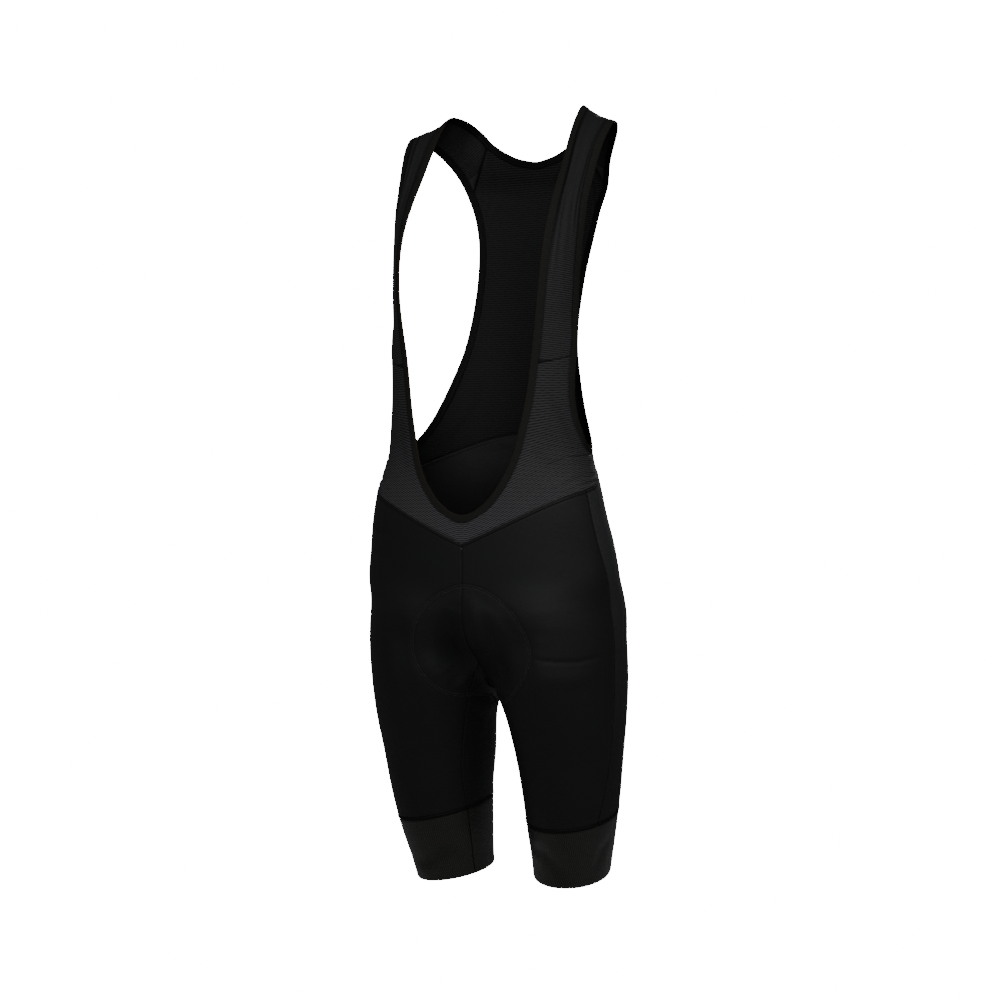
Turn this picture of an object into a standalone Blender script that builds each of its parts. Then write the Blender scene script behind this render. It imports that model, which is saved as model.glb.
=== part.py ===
"""Cycling bib shorts, hollow, in the shape they have when worn.

X runs to the wearer's left, -Y to the front and +Z up. The origin lies midway between the two shoulder
straps, at the height of their crests, where the wearer carries the garment. The tables are in
millimetres and the meshes in metres.

The cloth follows one smooth form: a trunk of rounded sections joined to two legs. Every panel is a
stretched patch between its seam lines, laid on that form. Its wall is built along the form's own normals,
so that two pieces meet face to face at a seam.
"""

import bpy
import numpy as np

MM = 0.001

# Cloth and trimmings
CLOTH = 1.5  # wall of one layer of knit
SEAM_GAP = 0.3  # clear space between two pieces at a seam
BINDING_WIDTH = 8.5  # elastic folded over the free edges
BINDING_THICK = 2.3
BINDING_PROUD = 0.4  # the elastic stands this far outside the cloth
PAD_THICK = 7.0
PAD_EDGE = 2.0
SHARP = 0.9  # radians between faces that meet in a crisp edge

# Rows and columns of the panels
STRAP_ROWS, STRAP_COLUMNS = 26, 6
NECK_ROWS = 24  # centre front to strap seam
BACK_NECK_COLUMNS = 5  # strap seam to centre back
ARM_FRONT_ROWS, SIDE_SEAM_ROWS, ARM_BACK_ROWS = 9, 2, 24
BIB_COLUMNS = 7
BACK_SEAM_COLUMNS = 4
SHORTS_ROWS = 28
SEAT_CROWDING = 0.4  # how much closer the seat's rows lie at the fork than at the waist
FRONT_COLUMNS, SIDE_COLUMNS, SEAT_COLUMNS = 10, 4, 14
RISE_ROWS = 18  # from the waist to the fork, in front and behind
GRIPPER_ROWS = 4
PAD_ROWS, PAD_COLUMNS = 20, 8

# The trunk by height: half width, front, back and widest line, and how square the section is
TRUNK = [
    # z, half_width, front, back, widest_y, squareness
    (0, 150, -110, 58, -40, 3.2),
    (-41, 134, -120, 60.5, -45, 3.4),
    (-78, 132, -130, 73.5, -52, 3.5),
    (-102, 132, -135, 71, -58, 3.4),
    (-132, 132, -137, 67, -62, 3.2),
    (-192, 128, -138, 51, -65, 2.8),
    (-252, 126, -137.5, 36.5, -65, 2.25),
    (-311, 125, -136.5, 26.5, -66, 2.0),
    (-373, 126, -136, 18.5, -69, 2.02),
    (-397, 127, -135, 17, -71, 2.12),
    (-441, 139.5, -136, 20, -77, 2.2),
    (-469, 145, -136.5, 28, -77.5, 2.2),
    (-513, 152.5, -136.5, 44, -70.5, 2.2),
    (-556, 155.5, -136, 62, -70, 2.2),
    (-599, 148, -135, 77, -70, 2.2),
    (-642, 158, -134, 84, -60, 2.2),
    (-700, 150, -130, 80, -55, 2.2),
]

# Each leg by height: centre, narrow and long radius, and the turn of the long one, front end outward
LEG = [
    # z, centre_x, centre_y, narrow, long, turn
    (-540, 78, -48, 68, 76, 0),
    (-580, 81, -48, 75.5, 84, 0),
    (-620, 84, -48, 75.5, 83, 0),
    (-660, 82, -44, 77, 85, 0),
    (-711, 86, -37, 69.5, 77, 11),
    (-755, 86, -29, 63, 71, 21),
    (-798, 86, -24, 57.5, 65.5, 20),
    (-840, 83.5, -18, 52.5, 59.5, 25),
    (-886, 79.5, -9, 46.5, 52, 26),
    (-930, 74, -1, 43, 48, 20),
]

# The crotch closes the trunk from below as a shallow bowl
BOWL_LOW, BOWL_Y = -660, -25
BOWL_LENGTHWAYS, BOWL_SIDEWAYS = 230, 300
BOWL_ROUND, LEG_BLEND, LEG_TOP, LEG_TOP_ROUND = 22, 26, -560, 40

# Free edge of the neck opening, from the centre front over the strap to the centre back
NECK_EDGE = [
    # x, y, z
    (0, -137, -472),
    (24, -135.5, -462),
    (43, -131, -441),
    (58, -127, -411),
    (67, -125, -376),
    (74, -122.5, -343),
    (80, -121.5, -300),
    (85.5, -122.5, -258),
    (90, -123, -220),
    (92.5, -119, -180),
    (93, -108, -143),
    (92, -89, -107),
    (91, -66, -74),
    (89.5, -44, -40),
    (88.7, -22.5, -9.5),
    (88, 1, 11.5),
    (84.5, 17, 13.5),
    (79, 32, 9.5),
    (71, 48, 0),
    (60, 59, -13.5),
    (42, 60, -26),
    (22, 59.5, -35.5),
    (0, 59, -40),
]
STRAP_SEAM_NECK, BACK_SEAM_NECK = (80, -121.5, -300), (60, 59, -13.5)
NECK_BESIDE_UNDERARM = (44, -131, -440)

# Free edge of the left armhole, from the front strap seam over the crest to the underarm and back up
ARM_EDGE = [
    # x, y, z
    (120, -84, -293),
    (120.8, -81.5, -262),
    (121.5, -79, -225),
    (122.5, -77, -188),
    (125, -73.5, -150),
    (127, -67, -112),
    (129.5, -55, -80),
    (132, -43.5, -52.5),
    (135, -29, -28.5),
    (136.6, -12.8, -13.8),
    (133.6, 2.2, -12.8),
    (127, 18, -20.5),
    (115, 34, -35),
    (104, 46.5, -53),
    (94, 55.5, -76),
    (86.3, 60, -101.5),
    (79.7, 58.5, -132),
    (75.5, 51.5, -162),
    (73, 42, -192),
    (73.2, 33.5, -222),
    (75.2, 24.5, -252),
    (80.2, 15.5, -281),
    (89.2, 4.5, -311),
    (98, -6, -337),
    (107, -18, -361),
    (118, -33, -382),
    (126, -52, -393),
    (127, -68, -389),
    (125, -80, -371),
    (121, -86, -345),
    (119.5, -86, -318),
]
STRAP_SEAM_ARM, BACK_SEAM_ARM, UNDERARM = (120, -84, -293), (94, 55.5, -76), (124, -46, -391)

# Seams of the shorts, on the wearer's left
WAIST_SEAM = [
    # x, y, z
    (0, -137, -505),
    (22, -136, -496),
    (42, -135, -487),
    (60, -133, -479),
    (79, -129, -470),
    (100, -122, -460),
    (124, -108, -449),
    (137, -93, -443),
    (139, -75, -438),
    (137, -58, -431),
    (130, -43, -422),
    (117, -27, -411),
    (95, -6, -399),
    (67, 10, -388),
    (35, 17, -379),
    (0, 19, -373),
]
WAIST_SIDE_FRONT, WAIST_SIDE_SEAM, WAIST_SIDE_BACK = (137, -93, -443), (132, -46, -424), (124, -35, -417)
SIDE_FRONT_SEAM = [
    # x, y, z
    (137, -93, -443),
    (143, -92, -474),
    (148, -88, -501),
    (152, -82, -523),
    (155, -69, -565),
    (158, -63, -620),
    (158, -61, -659),
    (155, -58, -705),
    (145, -53, -776),
    (136, -54, -815),
]
SIDE_BACK_SEAM = [
    # x, y, z
    (124, -35, -417),
    (135, -31, -474),
    (145, -16, -520),
    (150, -1, -560),
    (150, 6, -600),
    (152, 9, -660),
    (150, 11, -705),
    (140, 12, -776),
    (132, 8, -812),
]
RISE_SEAM = [
    # x, y, z: centre front, through the crotch, to the centre back
    (0, -137, -505),
    (0, -136, -560),
    (0, -134, -603),
    (0, -120, -628),
    (0, -92, -645),
    (0, -60, -667),
    (0, -30, -673),
    (0, 0, -662),
    (0, 40, -645),
    (0, 72, -600),
    (0, 64, -560),
    (0, 45, -513),
    (0, 26, -460),
    (0, 17, -410),
    (0, 19, -373),
]
FORK = (0, -92, -645)  # where the inner leg seam leaves the rise
INNER_LEG_SEAM = [
    # x, y, z
    (0, -92, -645),
    (7, -88, -656),
    (14, -83, -669),
    (21, -80, -689),
    (32, -72, -732),
    (38, -64, -776),
    (38, -50, -819),
]

# Each leg's gripper lies between two slanted planes: z = level + outward * |x| + backward * y
GRIPPERS = {
    # side: (seam level, outward, backward, hem level, outward, backward)
    "left": (-822.5, 0.047, 0.25, -889.5, -0.027, 0.25),
    "right": (-807.5, -0.149, 0.187, -892.5, -0.109, 0.172),
}
GRIPPER_CENTRE, HEM_CENTRE = (84, -19), (78, -8)
# Angles round the leg, from straight out, of the inner, side front and side back seams
GRIPPER_ANGLES, HEM_INNER_ANGLE = (-147, -36, 27), -153

# The pad along the rise, from its front end: half width, and the space between it and the shorts
PAD_OUTLINE = [
    # along, half_width, clear
    (0, 10, 1.6),
    (10, 34, 1.6),
    (26, 52, 1.6),
    (48, 68, 1.6),
    (70, 76, 1.7),
    (90, 74, 1.9),
    (108, 58, 2.6),
    (128, 42, 4.8),
    (165, 36, 5.2),
    (205, 44, 3.8),
    (250, 66, 2.2),
    (290, 72, 2.0),
    (325, 58, 2.2),
    (345, 34, 2.2),
    (354, 12, 2.2),
]
PAD_FRONT = (0, -136, -556)

# Soft lengthwise troughs in the straps: place across, depth, half width, and first and last place along
STRAP_FOLDS = [
    # across, depth, half_width, start, middle, end
    (0.33, 1.1, 0.13, 0.10, 0.42, 0.75),
    (0.67, 0.8, 0.13, 0.18, 0.45, 0.70),
]
STRAP_CROWNS = [(0.0, 3.5), (0.3, 2.5), (0.55, 2.5), (0.8, 3.0), (1.0, 3.0)]

FABRICS = {
    # name: (red, green, blue, roughness)
    "lycra": (0.008, 0.009, 0.009, 0.62),
    "bib_mesh": (0.024, 0.025, 0.027, 0.70),
    "back_mesh": (0.012, 0.012, 0.013, 0.78),
    "side_knit": (0.016, 0.017, 0.018, 0.68),
    "gripper_knit": (0.021, 0.021, 0.020, 0.66),
    "elastic": (0.017, 0.016, 0.013, 0.60),
    "pad_foam": (0.010, 0.010, 0.010, 0.85),
}


# ---------------------------------------------------------------- curves


def hermite(stations, values, at):
    """Smooth curve through values at stations, read at the places given."""
    steps = np.diff(stations)
    slopes = np.diff(values, axis=0) / steps[:, None]
    tangents = np.empty_like(values)
    tangents[0], tangents[-1] = slopes[0], slopes[-1]
    weight = (steps[1:] / (steps[1:] + steps[:-1]))[:, None]
    tangents[1:-1] = slopes[:-1] * weight + slopes[1:] * (1 - weight)
    at = np.clip(at, stations[0], stations[-1])
    i = np.clip(np.searchsorted(stations, at) - 1, 0, len(stations) - 2)
    step = steps[i][:, None]
    t = ((at - stations[i]) / steps[i])[:, None]
    start = (2 * t**3 - 3 * t**2 + 1) * values[i] + (t**3 - 2 * t**2 + t) * step * tangents[i]
    end = (3 * t**2 - 2 * t**3) * values[i + 1] + (t**3 - t**2) * step * tangents[i + 1]
    return start + end


def lengths_along(points):
    return np.append(0.0, np.cumsum(np.linalg.norm(np.diff(points, axis=0), axis=1)))


def spread(points, count, crowding=0):
    """The same line as count steps, equal ones unless they crowd towards its end."""
    along = lengths_along(points)
    at = np.linspace(0, 1, count + 1)
    at = along[-1] * ((1 + crowding) * at - crowding * at**2)
    return np.stack([np.interp(at, along, points[:, k]) for k in range(3)], axis=1)


def fine_curve(rows, closed=False, steps=24):
    """A dense smooth curve through the rows of a table."""
    points = np.array(rows, float)
    if closed:
        points = np.vstack([points[-3:], points, points[:4]])
    stations = lengths_along(points)
    at = np.concatenate([np.linspace(a, b, steps, endpoint=False) for a, b in zip(stations, stations[1:])])
    curve = hermite(stations, points, np.append(at, stations[-1]))
    return curve[3 * steps : -3 * steps] if closed else curve


def nearest(curve, point):
    return int(np.argmin(np.linalg.norm(curve - np.array(point, float), axis=1)))


def between(curve, start, end):
    """The stretch of a dense curve between two points near it, in that order."""
    i, j = nearest(curve, start), nearest(curve, end)
    return curve[i : j + 1] if i < j else curve[j : i + 1][::-1]


def unit(vectors):
    return vectors / np.linalg.norm(vectors, axis=-1, keepdims=True)


def mirrored(points):
    return points * np.array([-1.0, 1.0, 1.0])


# ---------------------------------------------------------------- the form under the cloth


def columns(rows):
    ordered = np.array(sorted(rows), float)
    return ordered[:, 0], ordered[:, 1:]


TRUNK_HEIGHTS, TRUNK_VALUES = columns(TRUNK)
LEG_HEIGHTS, LEG_VALUES = columns(LEG)


def blend_least(a, b, width):
    """The lesser of two distances, rounded where they meet."""
    share = np.clip(0.5 + 0.5 * (b - a) / width, 0, 1)
    return b * (1 - share) + a * share - width * share * (1 - share)


def round_section(dx, dy, radius_x, radius_y, squareness):
    """Distance outside a rounded section, measured from its centre."""
    reach = np.hypot(dx, dy) + 1e-9
    ratio = (np.abs(dx) / radius_x) ** squareness + (np.abs(dy) / radius_y) ** squareness
    return reach * (1 - 1 / (ratio + 1e-12) ** (1 / squareness))


def trunk_distance(points):
    x, y, z = points.T
    half_width, front, back, widest, squareness = hermite(TRUNK_HEIGHTS, TRUNK_VALUES, z).T
    dy = y - widest
    depth = np.where(dy < 0, widest - front, back - widest)
    section = round_section(x, dy, half_width, depth, squareness)
    bowl = BOWL_LOW + (y - BOWL_Y) ** 2 / BOWL_LENGTHWAYS + x**2 / BOWL_SIDEWAYS - z
    return -blend_least(-section, -0.8 * bowl, BOWL_ROUND)


def leg_distance(points, side):
    x, y, z = points.T
    centre_x, centre_y, narrow, long, turn = hermite(LEG_HEIGHTS, LEG_VALUES, z).T
    dx, dy = side * x - centre_x, y - centre_y
    cosine, sine = np.cos(np.radians(turn)), np.sin(np.radians(turn))
    section = round_section(dx * cosine + dy * sine, dy * cosine - dx * sine, narrow, long, 2)
    return -blend_least(-section, LEG_TOP - z, LEG_TOP_ROUND)


def outside(points):
    """How far each point lies outside the form, negative inside."""
    distance = blend_least(trunk_distance(points), leg_distance(points, 1), LEG_BLEND)
    return blend_least(distance, leg_distance(points, -1), LEG_BLEND)


def gradient(points):
    half_step = 0.5
    slopes = [outside(points + half_step * axis) - outside(points - half_step * axis) for axis in np.eye(3)]
    return np.stack(slopes, axis=1) / (2 * half_step)


def normals_of_form(points):
    return unit(gradient(points.reshape(-1, 3))).reshape(points.shape)


def on_form(points, steps=10):
    """The points moved onto the form along its own slope."""
    points = np.array(points, float)
    for _ in range(steps):
        slope = gradient(points)
        points = points - (outside(points) / (slope**2).sum(axis=1))[:, None] * slope
    return points


def seam(rows):
    return on_form(fine_curve(rows))


# ---------------------------------------------------------------- free edges


class Edge:
    """A closed free edge, with the direction into the cloth and the outward normal at each station.

    on_cloth is 1 where the edge lies on the form and 0 where it lies on a strap, which hangs free.
    """

    def __init__(self, points, inward, on_cloth):
        self.points = points
        self.on_cloth = on_cloth[:, None]
        tangent = unit(np.roll(points, -1, axis=0) - np.roll(points, 1, axis=0))
        form = normals_of_form(points)
        free = unit(np.cross(tangent, inward))
        free *= np.sign((free * form).sum())
        normal = form * self.on_cloth + free * (1 - self.on_cloth)
        for _ in range(2):
            normal = (np.roll(normal, 1, axis=0) + 2 * normal + np.roll(normal, -1, axis=0)) / 4
        self.normal = unit(normal - (normal * tangent).sum(axis=1)[:, None] * tangent)
        side = np.cross(self.normal, tangent)
        self.inward = side * np.sign((side * inward).sum())

    def line(self, distance):
        """The line that runs this far inside the edge, and the outward normals on it."""
        flat = self.points + distance * self.inward
        points = flat + (on_form(flat) - flat) * self.on_cloth
        return points, unit(normals_of_form(points) * self.on_cloth + self.normal * (1 - self.on_cloth))


def strap_share(count, fade=3):
    """0 along a strap, rising to 1 over its first and last stations."""
    station = np.arange(count + 1)
    near_end = np.clip(1 - np.minimum(station, count - station) / fade, 0, 1)
    return near_end**2 * (3 - 2 * near_end)


def strap_crown():
    stations, heights = np.array(STRAP_CROWNS).T
    return np.interp(np.linspace(0, 1, STRAP_ROWS + 1), stations, heights)


def strap_normal(neck_side, arm_side):
    """Outward direction at each station of a strap."""
    normal = unit(np.cross(np.gradient(arm_side + neck_side, axis=0), arm_side - neck_side))
    return normal * np.sign((normal[0] * normals_of_form(neck_side[:1])[0]).sum())


def laid(points, share):
    return points + (on_form(points) - points) * share[:, None]


def make_edges():
    """The neck edge and the left armhole edge, as stations that the panels share."""
    neck = fine_curve(NECK_EDGE)
    share = strap_share(STRAP_ROWS)
    neck_low = spread(between(neck, NECK_EDGE[0], NECK_BESIDE_UNDERARM), NECK_ROWS - ARM_FRONT_ROWS)
    neck_high = spread(between(neck, NECK_BESIDE_UNDERARM, STRAP_SEAM_NECK), ARM_FRONT_ROWS)
    neck_front = np.vstack([neck_low, neck_high[1:]])
    neck_strap = spread(between(neck, STRAP_SEAM_NECK, BACK_SEAM_NECK), STRAP_ROWS)
    neck_back = spread(between(neck, BACK_SEAM_NECK, NECK_EDGE[-1]), BACK_NECK_COLUMNS)
    neck_front, neck_back = on_form(neck_front), on_form(neck_back)
    neck_strap = laid(neck_strap, share)

    arm = fine_curve(ARM_EDGE, closed=True)
    seam_at, back_at, under_at = (nearest(arm, p) for p in (STRAP_SEAM_ARM, BACK_SEAM_ARM, UNDERARM))
    arm = np.roll(arm[:-1], -seam_at, axis=0)
    back_at, under_at = (back_at - seam_at) % len(arm), (under_at - seam_at) % len(arm)
    arm_strap = laid(spread(arm[: back_at + 1], STRAP_ROWS), share)
    arm_back = on_form(spread(arm[back_at : under_at + 1], ARM_BACK_ROWS))
    arm_front = on_form(spread(np.vstack([arm[under_at:], arm[:1]]), ARM_FRONT_ROWS))

    across, crown = arm_strap - neck_strap, 4 * strap_crown()[:, None] * strap_normal(neck_strap, arm_strap)
    into_front = np.tile([1.0, 0, -1.0], (NECK_ROWS, 1)) * np.linspace(0, 1, NECK_ROWS)[:, None]
    into_front += np.tile([0, 0, -1.0], (NECK_ROWS, 1)) * np.linspace(1, 0, NECK_ROWS)[:, None]
    into_back = np.tile([0, 0, -1.0], (BACK_NECK_COLUMNS, 1))
    half = np.vstack([neck_front[:-1], neck_strap, neck_back[1:]])
    half_in = np.vstack([into_front, across + crown, into_back])
    half_on = np.concatenate([np.ones(NECK_ROWS), share, np.ones(BACK_NECK_COLUMNS)])
    neck_edge = Edge(
        np.vstack([half, mirrored(half[1:-1])[::-1]]),
        np.vstack([half_in, mirrored(half_in[1:-1])[::-1]]),
        np.concatenate([half_on, half_on[1:-1][::-1]]),
    )

    points = np.vstack([arm_strap, arm_back[1:], arm_front[1:-1]])
    rest = points[STRAP_ROWS + 1 :]
    hole_centre = np.array([110.0, -30.0, -220.0])
    inward = np.vstack([crown - across, rest - hole_centre])
    on_cloth = np.concatenate([share, np.ones(len(rest))])
    return neck_edge, Edge(points, inward, on_cloth)


# ---------------------------------------------------------------- panels


def stretched(top, bottom, left, right, relax=40):
    """A patch of cloth between four seam lines, laid on the form and evened out.

    top and bottom run from left to right, left and right from top to bottom.
    """
    u = np.linspace(0, 1, len(top))[None, :, None]
    v = np.linspace(0, 1, len(left))[:, None, None]
    corners = (1 - u) * (1 - v) * top[0] + u * (1 - v) * top[-1] + (1 - u) * v * bottom[0] + u * v * bottom[-1]
    grid = (1 - v) * top[None] + v * bottom[None] + (1 - u) * left[:, None] + u * right[:, None] - corners
    shape = grid[1:-1, 1:-1].shape
    grid[1:-1, 1:-1] = on_form(grid[1:-1, 1:-1].reshape(-1, 3)).reshape(shape)
    for _ in range(relax):
        inner = (grid[:-2, 1:-1] + grid[2:, 1:-1] + grid[1:-1, :-2] + grid[1:-1, 2:]) / 4
        grid[1:-1, 1:-1] = on_form(inner.reshape(-1, 3), steps=2).reshape(shape)
    return grid


def trimmed(grid, outward):
    """The patch with its border drawn in by half the seam gap, square to every side of it."""
    grid = grid.copy()
    last_row, last_col = grid.shape[0] - 1, grid.shape[1] - 1
    ring = [(0, k) for k in range(last_col)] + [(k, last_col) for k in range(last_row)]
    ring += [(last_row, last_col - k) for k in range(last_col)] + [(last_row - k, 0) for k in range(last_row)]
    i, j = np.array(ring).T
    border, inside = grid[i, j], grid[np.clip(i, 1, last_row - 1), np.clip(j, 1, last_col - 1)]
    side = unit(np.cross(outward[i, j], np.roll(border, -1, axis=0) - border))
    side *= np.sign((side * (inside - border)).sum())
    before = np.roll(side, 1, axis=0)
    grid[i, j] += SEAM_GAP / 2 * (side + before) / (1 + (side * before).sum(axis=1))[:, None]
    return grid


def grid_faces(rows, cols, around=False):
    """Quads over a grid of rows and columns of points; around joins the last row to the first."""
    faces = []
    for i in range(rows if around else rows - 1):
        for j in range(cols - 1):
            a, b = i * cols + j, (i + 1) % rows * cols + j
            faces.append((a, a + 1, b + 1, b))
    return faces


def split_along_other(quads, chosen):
    """The quads, with the chosen ones started a corner later, so that their other diagonal splits them."""
    return np.where(chosen[:, None], np.roll(quads, 1, axis=1), quads)


def fabric(name):
    material = bpy.data.materials.get(name) or bpy.data.materials.new(name)
    material.use_nodes = True
    red, green, blue, roughness = FABRICS[name]
    shader = material.node_tree.nodes["Principled BSDF"]
    shader.inputs["Base Color"].default_value = (red, green, blue, 1)
    shader.inputs["Roughness"].default_value = roughness
    shader.inputs["Metallic"].default_value = 0
    return material


def add_cloth(name, material, grid, outward, thickness=CLOTH, around=False, split=1):
    """One solid piece: a grid of outer points, and its wall grown inward along the outward normals."""
    rows, cols = grid.shape[:2]
    outer, outward = grid.reshape(-1, 3), outward.reshape(-1, 3)
    inner = outer - outward * np.broadcast_to(np.array(thickness, float), (rows, cols)).reshape(-1, 1)
    faces = np.array(grid_faces(rows, cols, around))
    corner, out = outer[faces], outward[faces].sum(axis=1)
    # Each quad splits along the diagonal that stands further out, or further in for padding
    rise = ((corner[:, 1] + corner[:, 3] - corner[:, 0] - corner[:, 2]) * out).sum(axis=1)
    faces = split_along_other(faces, rise * split > 1e-6)
    corner = outer[faces]
    if (np.cross(corner[:, 2] - corner[:, 0], corner[:, 3] - corner[:, 1]) * out).sum() < 0:
        faces = faces[:, [0, 3, 2, 1]]
    # The inner face keeps the outer one's diagonals, and the rim takes its shorter ones
    count = len(outer)
    inner_faces = faces[:, [0, 3, 2, 1]] + count
    sides = [(face[k], face[(k + 1) % 4]) for face in faces.tolist() for k in range(4)]
    shared = set(sides)
    rim = np.array([(b, a, a + count, b + count) for a, b in sides if (b, a) not in shared])
    points = np.vstack([outer, inner])
    spans = np.linalg.norm(points[rim[:, 2:]] - points[rim[:, :2]], axis=2)
    rim = split_along_other(rim, spans[:, 1] < spans[:, 0])
    mesh = bpy.data.meshes.new(name)
    mesh.from_pydata((points * MM).tolist(), [], np.vstack([faces, inner_faces, rim]).tolist())
    mesh.shade_smooth()
    mesh.set_sharp_from_angle(angle=SHARP)
    mesh.materials.append(fabric(material))
    piece = bpy.data.objects.new(name, mesh)
    garment.objects.link(piece)
    piece.parent = shoulder_line


def add_pair(name, material, grid, outward, **options):
    """The left piece and its mirror image on the right."""
    add_cloth(name + "_left", material, grid, outward, **options)
    add_cloth(name + "_right", material, mirrored(grid), mirrored(outward), **options)


def on_body(name, material, grid):
    grid = trimmed(grid, normals_of_form(grid))
    add_cloth(name, material, grid, normals_of_form(grid))


def binding(edge):
    """The outer points and normals of flat elastic along a free edge, a little proud of the cloth."""
    lines = [edge.line(distance) for distance in (0, BINDING_WIDTH / 2, BINDING_WIDTH)]
    outward = np.stack([normal for _, normal in lines], axis=1)
    return np.stack([points for points, _ in lines], axis=1) + BINDING_PROUD * outward, outward


def waist_stations():
    """The waist seam as the stations that the panels above and below it share: front, side and back."""
    waist = seam(WAIST_SEAM)
    front = spread(between(waist, WAIST_SEAM[0], WAIST_SIDE_FRONT), FRONT_COLUMNS)
    side = spread(between(waist, WAIST_SIDE_FRONT, WAIST_SIDE_SEAM), SIDE_COLUMNS - 1)
    back_corner = waist[nearest(waist, WAIST_SIDE_BACK)]
    back = spread(between(waist, WAIST_SIDE_BACK, WAIST_SEAM[-1]), SEAT_COLUMNS)
    return front, np.vstack([side, back_corner]), back


# ---------------------------------------------------------------- the bib


def strap_seams(neck_line, arm_line):
    """The two seams across a strap, front and back, on the form."""
    share = np.linspace(0, 1, STRAP_COLUMNS + 1)[:, None]
    front = neck_line[0] * (1 - share) + arm_line[0] * share
    back = neck_line[-1] * (1 - share) + arm_line[-1] * share
    return on_form(front), on_form(back)


def resampled(points, count):
    """The same row of points read at count equal steps of their order."""
    at, stations = np.linspace(0, 1, count + 1), np.linspace(0, 1, len(points))
    return np.stack([np.interp(at, stations, points[:, k]) for k in range(3)], axis=1)


def strap_grid(neck_line, arm_line, outward):
    """A strap: a crowned ribbon from one binding to the other, with its soft folds pressed in."""
    front, back = strap_seams(neck_line, arm_line)
    along = np.linspace(0, 1, STRAP_ROWS + 1)
    across = np.linspace(0, 1, STRAP_COLUMNS + 1)
    grid = neck_line[:, None] * (1 - across)[:, None] + arm_line[:, None] * across[:, None]
    crown = strap_crown()[:, None] * 4 * across * (1 - across)
    grid += crown[:, :, None] * strap_normal(neck_line, arm_line)[:, None]
    for row, seam_line in ((0, front), (-1, back)):
        fade = np.clip(1 - np.abs(along - along[row]) / 0.2, 0, 1)
        fade = fade**2 * (3 - 2 * fade)
        grid += fade[:, None, None] * (seam_line - grid[row])[None]
    for place, depth, half_width, start, middle, end in STRAP_FOLDS:
        length = np.interp(along, (start, middle, end), (0, 1, 0), left=0, right=0)
        trough = np.clip(1 - (np.abs(across - place) / half_width) ** 2, 0, 1)
        grid -= (depth * length[:, None] * trough)[:, :, None] * outward
    return grid


def joined(half):
    """A line from the left to the centre, carried on to its mirror image on the right."""
    return np.vstack([half, mirrored(half[:-1])[::-1]])


def make_bib():
    neck, arm = make_edges()
    add_cloth("neck_binding", "elastic", *binding(neck), thickness=BINDING_THICK, around=True)
    add_pair("armhole_binding", "elastic", *binding(arm), thickness=BINDING_THICK, around=True)

    inset = BINDING_WIDTH + SEAM_GAP / 2
    neck_line, neck_normal = neck.line(inset)
    arm_line, arm_normal = arm.line(inset)
    strap_end = NECK_ROWS + STRAP_ROWS
    neck_front, neck_strap = neck_line[: NECK_ROWS + 1], neck_line[NECK_ROWS : strap_end + 1]
    neck_back = neck_line[strap_end : strap_end + BACK_NECK_COLUMNS + 1]
    arm_strap, arm_back = arm_line[: STRAP_ROWS + 1], arm_line[STRAP_ROWS : STRAP_ROWS + ARM_BACK_ROWS + 1]
    arm_front = np.vstack([arm_line[STRAP_ROWS + ARM_BACK_ROWS :], arm_line[:1]])

    across = np.linspace(0, 1, STRAP_COLUMNS + 1)[:, None]
    neck_side, arm_side = neck_normal[NECK_ROWS : strap_end + 1, None], arm_normal[: STRAP_ROWS + 1, None]
    outward = unit(neck_side * (1 - across) + arm_side * across)
    strap = strap_grid(neck_strap, arm_strap, outward)
    add_pair("strap", "bib_mesh", trimmed(strap, outward), outward)

    waist_front, waist_side, waist_back = waist_stations()
    side_seam = on_form(np.linspace(arm_back[-1], waist_side[-2], SIDE_SEAM_ROWS + 1))
    outer = np.vstack([waist_front, waist_side[1:-1], side_seam[::-1][1:], arm_front[1:]])
    top = on_form(resampled(strap[0], BIB_COLUMNS))
    bib = stretched(top, mirrored(top), joined(neck_front[::-1]), joined(outer[::-1]), relax=0)
    on_body("bib_front", "bib_mesh", bib)

    back_seam = on_form(resampled(strap[-1], BACK_SEAM_COLUMNS))
    half_top = np.vstack([back_seam[::-1], neck_back[1:]])
    half_waist = np.vstack([waist_side[-2:], waist_back[1:2], waist_back[2::2]])
    left = np.vstack([arm_back, side_seam[1:]])
    back = stretched(joined(half_top), joined(half_waist), left, mirrored(left), relax=10)
    on_body("back_panel", "back_mesh", back)


# ---------------------------------------------------------------- the shorts


def leg_ring(plane, centre, angles):
    """Points of the form on a slanted plane, at angles round a centre line of the left leg."""
    level, outward, backward = plane
    direction = np.stack([np.cos(np.radians(angles)), np.sin(np.radians(angles))], axis=1)
    near, far = np.full(len(angles), 20.0), np.full(len(angles), 90.0)
    for _ in range(30):
        reach = (near + far) / 2
        flat = np.array(centre) + reach[:, None] * direction
        points = np.column_stack([flat, level + outward * flat[:, 0] + backward * flat[:, 1]])
        inside = outside(points) < 0
        near, far = np.where(inside, reach, near), np.where(inside, far, reach)
    return points


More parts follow.
